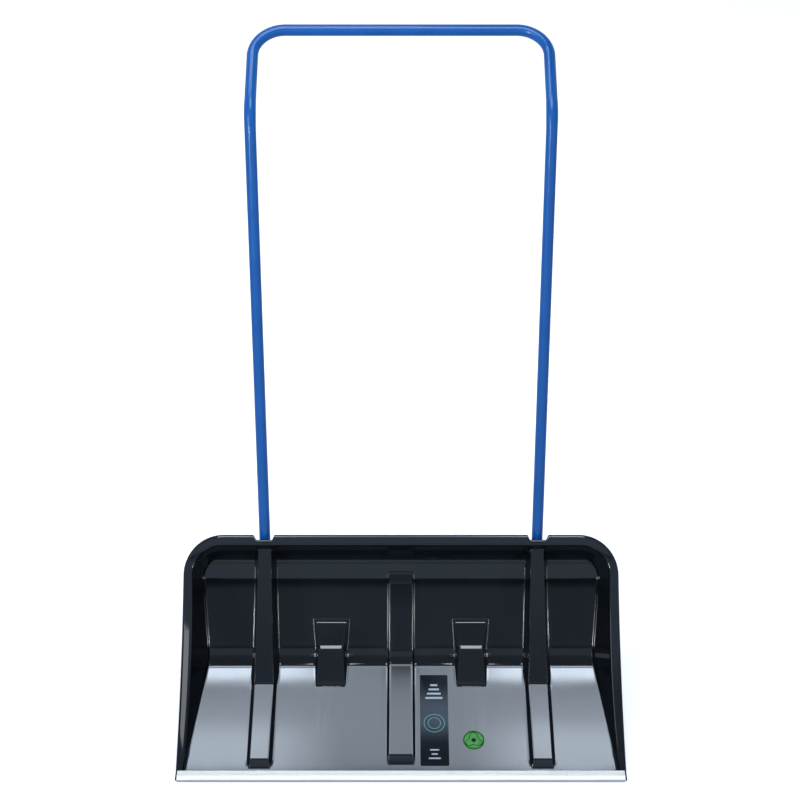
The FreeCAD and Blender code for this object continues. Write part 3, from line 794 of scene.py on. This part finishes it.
def moulded(name, base, light, low_rough, high_rough):
    """Matt to satin moulded plastic with faint texture and paler worn edges."""
    m = Material(name, base, low_rough, ior=1.49)
    tone = m.mix(m.vary(0.012, 4.0, 0.0, 1.0), base, light)
    worn = tuple(min(1.0, c * 2.2 + 0.01) for c in light)
    m.colour(m.mix(m.times(m.edge_wear(0.53, 0.60), 0.4), tone, worn))
    m.roughness(m.vary(0.008, 4.0, low_rough, high_rough))
    m.bump(m.noise(0.0007, 3.0), 0.00002)
    return m.material


def band(m, value, centre, half, soft):
    """1 within `half` of centre, fading over `soft`."""
    away = m.math("ABSOLUTE", m.math("SUBTRACT", value, centre))
    return m.remap(away, half, half + soft, 1.0, 0.0)


def label_film():
    """Dark glossy label: a vertical fade, plain bars and two plain rings; no words or marks."""
    low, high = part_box("label_sticker")
    m = Material("label_film", (0.02, 0.025, 0.03), 0.4, ior=1.5)
    m.set("Specular IOR Level", 0.12)
    x, y = m.axis("X"), m.axis("Y")
    along = m.remap(y, low.y, high.y, 0.0, 1.0)
    middle = (low.x + high.x) / 2
    width = high.x - low.x
    fade = m.times(m.remap(along, 0.22, 0.50, 0.0, 1.0, True),
                   m.remap(along, 0.60, 0.92, 1.0, 0.0, True))
    base = m.mix(fade, (0.004, 0.006, 0.010), (0.085, 0.105, 0.125))
    speck = m.remap(m.noise(0.0022, 3.0), 0.4, 0.6, 0.0, 0.25)
    base = m.mix(speck, base, (0.02, 0.03, 0.035))
    marks = None
    for place_along, half_width in ((0.17, 0.15), (0.125, 0.10), (0.08, 0.20)):
        bar = m.times(band(m, along, place_along, 0.006, 0.003),
                      band(m, x, middle, half_width * width, 0.0006))
        marks = bar if marks is None else m.math("MAXIMUM", marks, bar)
    for number in range(4):
        rung = m.times(band(m, along, 0.74 + number * 0.048, 0.009, 0.003),
                       band(m, x, middle, (0.30 - 0.06 * number) * width, 0.0006))
        marks = m.math("MAXIMUM", marks, rung)
    base = m.mix(m.times(marks, 0.85), base, (0.72, 0.76, 0.80))
    span = high.y - low.y
    dx = m.math("SUBTRACT", x, middle)
    dy = m.times(m.math("SUBTRACT", along, 0.46), span)
    radius = m.math("SQRT", m.math("ADD", m.times(dx, dx), m.times(dy, dy)))
    rings = m.math("MAXIMUM", band(m, radius, 0.36 * width, 0.0006, 0.0004),
                   band(m, radius, 0.22 * width, 0.0005, 0.0004))
    base = m.mix(m.times(rings, 0.6), base, (0.25, 0.55, 0.50))
    m.colour(base)
    m.roughness(m.vary(0.02, 3.0, 0.30, 0.45))
    m.bump(m.noise(0.0015, 2.0), 0.00001)
    return m.material


def green_film():
    """Round green sticker with a dark ring, a dot and three plain petals."""
    low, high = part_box("round_sticker")
    m = Material("green_film", (0.10, 0.45, 0.10), 0.4, ior=1.5)
    m.set("Specular IOR Level", 0.08)
    centre = (low + high) / 2
    size = (high.x - low.x) / 2
    dx = m.math("SUBTRACT", m.axis("X"), centre.x)
    dy = m.math("SUBTRACT", m.axis("Y"), centre.y)
    radius = m.math("SQRT", m.math("ADD", m.times(dx, dx), m.times(dy, dy)))
    angle = m.math("ARCTAN2", dy, dx)
    petals = m.math("COSINE", m.math("ADD", m.times(angle, 3.0), math.pi / 2))
    edge = m.times(m.remap(petals, -1.0, 1.0, 0.42, 0.78), size)
    shade = m.mix(m.vary(0.004, 4.0, 0.0, 1.0), (0.085, 0.36, 0.075), (0.15, 0.50, 0.12))
    dark = m.remap(m.math("SUBTRACT", radius, edge), -0.0004, 0.0004, 0.0, 1.0)
    ring = band(m, radius, size * 0.90, size * 0.035, 0.0003)
    inner = m.remap(radius, size * 0.20, size * 0.22, 1.0, 0.0)
    rim = m.remap(m.math("SUBTRACT", radius, m.math("ADD", edge, size * 0.07)), -0.0002, 0.0002, 0.0, 1.0)
    outline = m.math("MAXIMUM", m.math("MAXIMUM", m.math("SUBTRACT", dark, rim), ring), inner)
    m.colour(m.mix(outline, shade, (0.004, 0.012, 0.005)))
    m.roughness(m.vary(0.006, 3.0, 0.25, 0.42))
    m.bump(outline, 0.00004)
    return m.material


def pale_floor():
    m = Material("pale_floor", (0.86, 0.86, 0.86), 0.9)
    m.colour(m.mix(m.vary(0.5, 2.0, 0.0, 1.0), (0.86, 0.86, 0.86), (0.88, 0.88, 0.88)))
    m.set("Specular IOR Level", 0.0)
    m.set("Emission Color", (1.0, 1.0, 1.0, 1.0))
    seen = m.add("LightPath", "Is Camera Ray")
    m.links.new(m.remap(seen, 0.0, 1.0, 0.04, 0.62), m.shader.inputs["Emission Strength"])
    return m.material


# ---- Handle sizes, and the small pieces of the scoop ----
LEG_END = (236.0, 236.9, 57.6)
LEG_BEND = (236.0, 356.9, 167.4)
KINK = (245.3, 711.0, 840.0)
BAR_Y, BAR_Z = 870.5, 896.0
TUBE_RADIUS = 9.485
BEND_RADII = (60.0, 70.0, 53.0)
CRADLES = (30.0, 75.0, 120.0)
CRADLE_LENGTH = 14.0


def leg_frame(side):
    """The lower end of a tube leg, its direction, and the way out of the socket's open back."""
    end = Vector((side * LEG_END[0], LEG_END[1], LEG_END[2]))
    along = (Vector(LEG_BEND) - Vector(LEG_END)).normalized()
    back = Vector((0, along.z, -along.y))
    return end, along, back


def make_cradles(side, material):
    """Moulded rests between the socket's face and the tube, each hollowed to the tube."""
    end, along, back = leg_frame(side)
    blocks = []
    room = TUBE_RADIUS + 0.05
    for number, where in enumerate(CRADLES):
        wide = 16.5 - 1.6 * number
        deep = 15.2 + 0.2 * number
        arc = [(room * math.sin(a), -room * math.cos(a))
               for a in np.linspace(-math.pi / 2, math.pi / 2, 17)]
        outline = np.array([(-wide, -1.0), (-wide + 1.0, 0.0), *arc, (wide - 1.0, 0.0), (wide, -1.0),
                            (wide * 0.80, -deep), (-wide * 0.80, -deep)])
        start = end + along * (where - CRADLE_LENGTH / 2)
        blocks.append(prism("cradle", outline, start, (1, 0, 0), back, along, CRADLE_LENGTH, material, 0.5))
    return blocks


def make_bosses(side, material):
    """Round bosses that carry the axle inside a wheel housing, and the backs of the cap pockets."""
    centre = Vector((side * HOUSING_X, AXLE_Y, AXLE_Z))
    parts = []
    for way in (-1, 1):
        ring = rounded_loop([(17.1, 3.55), (17.1, 7.0), (27.5, 8.2), (27.5, 3.55)], 0.6)
        parts.append(fix_outside(lathe("boss", ring, centre, (way, 0, 0), material)))
    return parts


def make_gates(material):
    """The small gate marks on the two socket faces and on the rib."""
    dots = []
    for x, y, line, lean in ((0.0, 239.0, "rib", 40.0), (-SOCKET_X, 219.4, "socket", 42.4),
                             (SOCKET_X, 219.4, "socket", 42.4)):
        face = FEATURES[line]["line"]
        s = np.linspace(200.0, 330.0, 400)
        on_y, on_z = from_rim(s, face(s))
        z = float(np.interp(y, on_y, on_z))
        turn = math.radians(lean)
        axis = (0, -math.sin(turn), math.cos(turn))
        outline = [(-1.0, 0.02), (-1.0, 1.5), (0.15, 1.3), (0.6, 0.85), (0.8, 0.02)]
        dot = lathe("gate", rounded_loop(outline, 0.2, 2), (x, y, z), axis, material, 20)
        dots.append(fix_outside(dot))
    return join("scoop_gates", dots)


# ---- Handle ----
def round_path(points, radii):
    """Straight runs joined by arcs; returns points, and how sharply the path bends at each."""
    pts = [Vector(p) for p in points]
    out, bend = [], []

    def run(a, b, step):
        count = max(2, int((b - a).length / step))
        for t in range(count):
            out.append(a.lerp(b, t / count))
            bend.append(0.0)

    last = pts[0]
    for k, radius in enumerate(radii, start=1):
        a, b = (pts[k - 1] - pts[k]).normalized(), (pts[k + 1] - pts[k]).normalized()
        half = a.angle(b) / 2
        start, end = pts[k] + a * (radius / math.tan(half)), pts[k] + b * (radius / math.tan(half))
        middle = pts[k] + (a + b).normalized() * (radius / math.sin(half))
        turn = math.pi - 2 * half
        run(last, start, 12.0)
        count = max(6, int(radius * turn / 2.5))
        for t in range(count):
            share = t / count
            ray = ((start - middle) * math.sin((1 - share) * turn)
                   + (end - middle) * math.sin(share * turn))
            out.append(middle + ray / math.sin(turn))
            bend.append(math.sin(math.pi * share))
        last = end
    run(last, pts[-1], 12.0)
    out.append(pts[-1])
    bend.append(0.0)
    return out, bend


def make_handle(material):
    """The bent tube: its section goes slightly oval where it is bent."""
    corner = Vector((KINK[0], BAR_Y, BAR_Z))
    right = [corner, Vector(KINK), Vector(LEG_BEND), Vector(LEG_END)]
    left = [Vector((-p.x, p.y, p.z)) for p in reversed(right)]
    first, second, third = BEND_RADII
    path, bend = round_path(left + right, (first, second, third, third, second, first))
    steps = 40
    last = len(path) - 1
    tangents = [(path[min(k + 1, last)] - path[max(k - 1, 0)]).normalized() for k in range(len(path))]
    normal = Vector((1, 0, 0))
    sections = []
    for k, (p, t) in enumerate(zip(path, tangents)):
        normal = (normal - t * normal.dot(t)).normalized()
        side = t.cross(normal)
        before, after = tangents[max(k - 1, 0)], tangents[min(k + 1, last)]
        pull = after - before
        oval = 0.035 * bend[k]
        ring = []
        for j in range(steps):
            angle = 2 * math.pi * j / steps
            ray = normal * math.cos(angle) + side * math.sin(angle)
            inside = abs(ray.dot(pull.normalized())) if pull.length > 1e-6 else 0.0
            ring.append(p + ray * (TUBE_RADIUS * (1 + oval * (1 - 2 * inside * inside))))
        sections.append(ring)
    return fix_outside(sweep("handle_tube_painted", sections, material))


# ---- Wheels and axle caps ----
def make_wheel(side, material):
    """Moulded wheel: ribbed tread, thin web, hub and six spokes on each face."""
    centre = Vector((side * HOUSING_X, AXLE_Y, AXLE_Z))
    outline = [(-15, 3.6), (15, 3.6), (15, 8.5), (2, 9.1), (2, 22.0), (13, 22.9), (13, 25.6)]
    for ridge in (10.0, 5.0, 0.0, -5.0, -10.0):
        outline += [(ridge + 1.7, 27.0), (ridge - 1.7, 27.0)]
        if ridge > -10:
            outline += [(ridge - 2.2, 26.2), (ridge - 2.8, 26.2)]
    outline += [(-13, 25.6), (-13, 22.9), (-2, 22.0), (-2, 9.1), (-15, 8.5)]
    parts = [fix_outside(lathe("wheel", rounded_loop(outline, 0.7, 2), centre, (1, 0, 0), material, 72))]
    section = rounded_loop([(-12.0, -1.2), (12.0, -1.2), (12.0, 1.2), (-12.0, 1.2)], 0.5)
    for number in range(6):
        angle = math.radians(60 * number + 15)
        out = Vector((0, math.cos(angle), math.sin(angle)))
        across = Vector((0, -math.sin(angle), math.cos(angle)))
        parts.append(prism("spoke", section, centre + out * 7.6, (1, 0, 0), across, out, 15.4, material))
    return join("wheel_" + ("left" if side < 0 else "right") + "_moulded", parts)


def make_cap(side, way, material):
    """Push-on cap with a domed end and a small centre dimple."""
    centre = Vector((side * HOUSING_X, AXLE_Y, AXLE_Z))
    outline = [(30.2, 3.56), (30.2, 4.35), (30.9, 4.7), (34.4, 4.7), (34.9, 4.45), (35.3, 4.7), (36.9, 4.5),
               (37.6, 3.2), (37.55, 1.3), (37.25, 0.9), (37.25, 0.02), (36.02, 0.02), (36.02, 3.56)]
    return fix_outside(lathe("cap", rounded_loop(outline, 0.35, 2), centre, (way, 0, 0), material, 40))


# ---- Edge strip and stickers ----
STRIP_HALF = 371.5
END_RING = 0.35                # an extra ring of points this far from each end of the strip


def make_edge_strip(material):
    """Extruded aluminium edge: rounded nose, a foot under the floor and a flange on top with a groove."""
    under = FLOOR_HEIGHT - SHELL * math.hypot(1, FLOOR_RISE) - 0.05
    over = FLOOR_HEIGHT + 0.05

    def top(y, height):
        return (y, over + FLOOR_RISE * y + height)

    outline = [(1.2, 0.0), (26.0, 0.0), (26.0, under + FLOOR_RISE * 26.0),
               (2.95, under + FLOOR_RISE * 2.95), top(2.95, 0.0), top(18.5, 0.0), top(18.5, 1.15),
               top(17.4, 1.4), top(13.4, 1.4), top(12.9, 0.95), top(12.0, 0.95), top(11.5, 1.4),
               top(6.2, 1.38), (1.9, over + 1.3), (0.35, over + 0.2), (0.0, over - 1.4), (0.0, 1.2)]
    loop = rounded_loop(outline, 0.45, 3)
    start = Vector((-STRIP_HALF, 0, 0))
    length = 2 * STRIP_HALF
    along = [0.0, END_RING, *np.linspace(0, length, 40)[1:-1], length - END_RING, length]
    sections = [[start + Vector((x, float(a), float(b))) for a, b in loop] for x in along]
    return fix_outside(sweep("edge_strip_brushed", sections, material, 30.0))


def make_sticker(name, outline, thickness, material):
    """A thin film laid on the sloping floor, with a softened edge."""
    lift = FLOOR_HEIGHT + 0.02

    def on_floor(x, y, height, inset, middle):
        x, y = middle[0] + (x - middle[0]) * inset, middle[1] + (y - middle[1]) * inset
        return (x, y, lift + FLOOR_RISE * y + height)

    middle = outline.mean(axis=0)
    size = np.abs(outline - middle).max()
    sections = [[on_floor(x, y, height, 1 - inset / size, middle) for x, y in outline]
                for height, inset in ((0.0, 0.0), (thickness * 0.7, 0.0), (thickness, 0.25))]
    return fix_outside(sweep(name, sections, material, 30.0))


# ---- Studio ----
CAMERA = (0.0, -2.0359, 2.3834)
CAMERA_PITCH = 43.44           # degrees below the horizon
LENS, SENSOR = 76.03, 36.0
IMAGE_SIDE = 800


def make_camera():
    data = bpy.data.cameras.new("camera")
    data.lens, data.sensor_width = LENS, SENSOR
    data.clip_start, data.clip_end = 0.05, 200.0
    data.shift_x = -1.0 / IMAGE_SIDE
    camera = add_object("camera", data)
    camera.location = CAMERA
    camera.rotation_euler = (math.radians(90 - CAMERA_PITCH), 0, 0)
    bpy.context.scene.camera = camera


def make_floor():
    mesh = bpy.data.meshes.new("floor")
    half = 60.0
    corners = [(-half, -half, 0), (half, -half, 0), (half, half, 0), (-half, half, 0)]
    mesh.from_pydata(corners, [], [(0, 1, 2, 3)])
    floor = add_object("floor", mesh)
    floor.location.z = -0.0002
    mesh.materials.append(pale_floor())
    return floor


def light_only(light, pieces):
    """Keeps a light's effect to the given pieces."""
    group = bpy.data.collections.new(light.name + "_lit")
    for obj in pieces:
        group.objects.link(obj)
    light.light_linking.receiver_collection = group


def area_light(name, location, target, width, height, power, only):
    data = bpy.data.lights.new(name, "AREA")
    data.shape = "RECTANGLE"
    data.size, data.size_y = width, height
    data.energy = power
    data.color = (0.93, 0.98, 1.0)
    light = add_object(name, data)
    light.location = location
    light.rotation_euler = (Vector(target) - Vector(location)).to_track_quat("-Z", "Y").to_euler()
    light.visible_camera = False
    if only is not None:
        light_only(light, only)


SCOOP_MIDDLE = (0.0, -0.32, 0.02)


def smooth(value, low, high):
    t = min(1.0, max(0.0, (value - low) / (high - low)))
    return t * t * (3 - 2 * t)


def steps_between(value, pairs):
    return float(np.interp(value, [a for a, _ in pairs], [b for _, b in pairs]))


# The softbox behind the tool: its size, and its glow at elevations (degrees) seen from the scoop.
SOFTBOX_DISTANCE, SOFTBOX_HALF = 2.2, 0.80
SOFTBOX_ANGLES = (57.0, 58.0, 58.6, 59.0, 59.3, 59.45, 59.6, 59.75, 60.1, 60.6, 61.1, 62.0, 62.4,
                  63.4, 64.2, 65.0, 65.7, 66.5)
GLOW_SIDES = ((57.0, 17.0), (58.6, 18.0), (59.30, 19.5), (59.75, 5.0), (60.1, 4.9), (61.1, 5.9),
              (62.4, 6.7), (63.4, 9.2), (64.2, 10.4), (65.7, 10.2), (66.5, 10.2))
GLOW_MIDDLE = ((57.0, 4.4), (60.0, 5.2), (63.4, 5.4), (66.5, 5.0))
GLOW_RIB = ((57.0, 0.10), (58.6, 0.18), (59.2, 0.40), (59.75, 0.62), (60.6, 0.80), (62.0, 0.90),
            (66.5, 0.97))         # share left over the centre rib


def back_glow(x, angle):
    """Glow of the softbox, by distance from its middle and elevation."""
    sides, middle, dip = (steps_between(angle, pairs) for pairs in (GLOW_SIDES, GLOW_MIDDLE, GLOW_RIB))
    blend = smooth(abs(x), 0.13, 0.36) if angle < 60.2 else smooth(abs(x), 0.15, 0.44)
    return (middle + (sides - middle) * blend) * (dip + (1.0 - dip) * smooth(abs(x), 0.035, 0.055))


def back_softbox(only):
    """A glowing panel behind the tool, curved round the scoop."""
    across = np.linspace(-SOFTBOX_HALF, SOFTBOX_HALF, 161)
    points, faces, glow = [], [], []
    for angle in SOFTBOX_ANGLES:
        turn = math.radians(angle)
        y = SCOOP_MIDDLE[1] + SOFTBOX_DISTANCE * math.cos(turn)
        z = SCOOP_MIDDLE[2] + SOFTBOX_DISTANCE * math.sin(turn)
        points += [(x, y, z) for x in across]
        glow += [back_glow(x, angle) for x in across]
    count = len(across)
    for r in range(len(SOFTBOX_ANGLES) - 1):
        for c in range(count - 1):
            a = r * count + c
            faces.append((a, a + 1, a + 1 + count, a + count))
    mesh = bpy.data.meshes.new("back_softbox")
    mesh.from_pydata(points, [], faces)
    mesh.attributes.new("glow", "FLOAT", "POINT").data.foreach_set("value", np.array(glow, np.float32))
    material = bpy.data.materials.new("back_softbox")
    tree = Nodes(material)
    tree.nodes.clear()
    strength = tree.add("Attribute", "Fac", attribute_name="glow")
    shader = tree.add("Emission", "Emission", {"Color": (0.87, 1.0, 1.17, 1.0), "Strength": strength})
    tree.add("OutputMaterial", None, {"Surface": shader})
    mesh.materials.append(material)
    obj = add_object("back_softbox", mesh)
    obj.visible_camera = False
    light_only(obj, only)


# The room's brightness by angle in degrees, up from the horizon in front of the tool.
ROOM_LEVELS = ((0, 0.72), (34, 0.72), (35, 0.36), (38, 0.36), (39.4, 0.06), (40.7, 0.06), (41.2, 0.36),
               (43, 0.36), (47, 0.60), (66, 0.60), (74, 0.34), (100, 0.30), (130, 0.30), (150, 0.45),
               (180, 0.55))


def make_world():
    """White to the camera; otherwise a dim room, by angle up from the horizon in front of the tool."""
    world = bpy.data.worlds.new("studio")
    bpy.context.scene.world = world
    tree = Nodes(world)
    tree.nodes.clear()
    way = tree.add("TexCoord", "Generated")
    y, z = (tree.add("SeparateXYZ", name, {"Vector": way}) for name in "YZ")
    front = tree.add("Math", "Value", {0: y, 1: -1.0}, operation="MULTIPLY")
    angle = tree.add("Math", "Value", {0: z, 1: front}, operation="ARCTAN2")
    share = tree.add("MapRange", "Result", {"Value": angle, "From Max": math.pi})
    ramp = tree.nodes.new("ShaderNodeValToRGB")
    elements = ramp.color_ramp.elements
    for k, (degrees, level) in enumerate(ROOM_LEVELS):
        element = elements[k] if k < 1 else elements.new(degrees / 180)
        element.position = degrees / 180
        element.color = (level * 0.80, level * 0.98, level * 1.25, 1)
    elements.remove(elements[len(elements) - 1])
    tree.links.new(share, ramp.inputs["Fac"])
    room = tree.add("Background", "Background", {"Color": ramp.outputs["Color"]})
    white = tree.add("Background", "Background", {"Color": (1, 1, 1, 1)})
    seen = tree.add("LightPath", "Is Camera Ray")
    shader = tree.add("MixShader", "Shader", {"Fac": seen, 1: room, 2: white})
    tree.add("OutputWorld", None, {"Surface": shader})


def make_studio():
    def named(start):
        return [obj for obj in bpy.data.objects if obj.name.startswith(start)]

    scoop, tube, edge = named("scoop_"), named("handle_tube_"), named("edge_")
    low = [obj for obj in bpy.data.objects if obj.type == "MESH" and obj not in tube]
    make_camera()
    floor = make_floor()
    make_world()
    back_softbox(low + [floor])
    # name, position, aim, width, height, watts, the pieces it lights (None for all)
    lights = [
        ("left_strip", (-2.1, -1.5, 0.75), (0, -0.2, 0.15), 0.3, 0.7, 28, scoop),
        ("right_strip", (2.1, -1.5, 0.75), (0, -0.2, 0.15), 0.3, 0.7, 12, scoop),
        ("left_spot", (-2.1, -1.43, 0.88), (-0.24, -0.13, 0.09), 0.14, 0.14, 13, scoop),
        ("right_spot", (2.1, -1.43, 0.88), (0.24, -0.13, 0.09), 0.14, 0.14, 10, scoop),
        ("edge_light", (0, -0.6, 2.0), (0, -0.43, 0), 1.6, 0.4, 20, edge),
        ("left_box", (-1.35, -0.945, 2.13), (-1.35, -0.2, 0.1), 1.1, 0.60, 7.6, None)]
    lights += [("ridge_" + name, (side * 0.205, 0.272, 2.139), (side * HOUSING_X * MM, -0.2, 0.06),
                0.14, 0.17, 0.75, scoop) for name, side in SIDES]
    lights += [
        ("bar_light", (0, 0.27, 2.4), (0, 0.26, 0.88), 0.8, 0.85, 12.5, tube),
        ("leg_light", (-0.35, 0.72, 1.8), (-0.35, 0.70, 0.88), 0.85, 0.20, 2.9, tube),
        ("bend_strip", (-0.90, -1.33, 1.66), (0, 0.27, 0.84), 0.09, 0.5, 14, tube)]
    for light in lights:
        area_light(*light)
    scene = bpy.context.scene
    scene.view_settings.view_transform = "Standard"
    scene.view_settings.look = "None"
    scene.render.film_transparent = False


# ---- Build ----
def build():
    plastic, paint, aluminium = black_plastic(), blue_paint(), brushed_aluminium()
    zinc, steel = zinc_steel("zinc_plate", (0.62, 0.62, 0.60)), zinc_steel("axle_steel", (0.50, 0.50, 0.50))
    wheel_plastic = moulded("wheel_plastic", (0.020, 0.021, 0.022), (0.032, 0.033, 0.035), 0.45, 0.6)
    cap_plastic = moulded("cap_plastic", (0.012, 0.013, 0.015), (0.02, 0.021, 0.023), 0.25, 0.4)
    washer_plastic = moulded("washer_plastic", (0.55, 0.55, 0.52), (0.66, 0.66, 0.62), 0.4, 0.55)

    settle(make_scoop_shell(plastic), BODY, "scoop_plastic", "scoop")
    for name, side in SIDES:
        cradles = join("scoop_cradles_" + name, make_cradles(side, plastic))
        settle(cradles, BODY, "scoop_plastic")
        bosses = join("scoop_bosses_" + name, make_bosses(side, plastic))
        settle(bosses, BODY, "scoop_plastic")
    settle(make_gates(plastic), BODY, "scoop_plastic")
    settle(make_handle(paint), BODY, "handle_paint", "handle_tube")
    settle(make_edge_strip(aluminium), BODY, "edge_aluminium", "edge_strip")

    low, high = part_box("label_sticker")
    corners = [((low.x if a < 0 else high.x) / MM, ((low.y if b < 0 else high.y) - FRONT_Y) / MM)
               for a, b in ((-1, -1), (1, -1), (1, 1), (-1, 1))]
    settle(make_sticker("label_printed", rounded_loop(corners, 2.5, 6), 0.28, label_film()),
           BODY, "label_film", "label_sticker")
    low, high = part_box("round_sticker")
    centre, radius = ((low + high) / 2), (high.x - low.x) / 2 / MM
    circle = np.array([(centre.x / MM + radius * math.cos(a),
                        (centre.y - FRONT_Y) / MM + radius * math.sin(a))
                       for a in np.linspace(0, 2 * math.pi, 73)[:-1]])
    settle(make_sticker("round_sticker_printed", circle, 0.28, green_film()),
           BODY, "green_film", "round_sticker")

    for name, side in SIDES:
        settle(make_wheel(side, wheel_plastic), "wheel_" + name, "wheel_plastic", "wheel_" + name)
        for place_name, way in (("inner", -side), ("outer", side)):
            node = "axle_cap_" + name + "_" + place_name
            cap = make_cap(side, way, cap_plastic)
            cap.name = node + "_moulded"
            settle(cap, BODY, "cap_plastic", node)

    kept = {"edge_rivets": steel}
    for name, _ in SIDES:
        kept.update({"axle_" + name: steel, "wheel_washers_" + name: washer_plastic,
                     "tube_plug_" + name: cap_plastic,
                     "handle_screws_" + name: zinc, "handle_washers_" + name: zinc})
    for node, material in kept.items():
        obj = frame["nodes"][node]
        obj.data.materials.clear()
        obj.data.materials.append(material)


build()
make_studio()
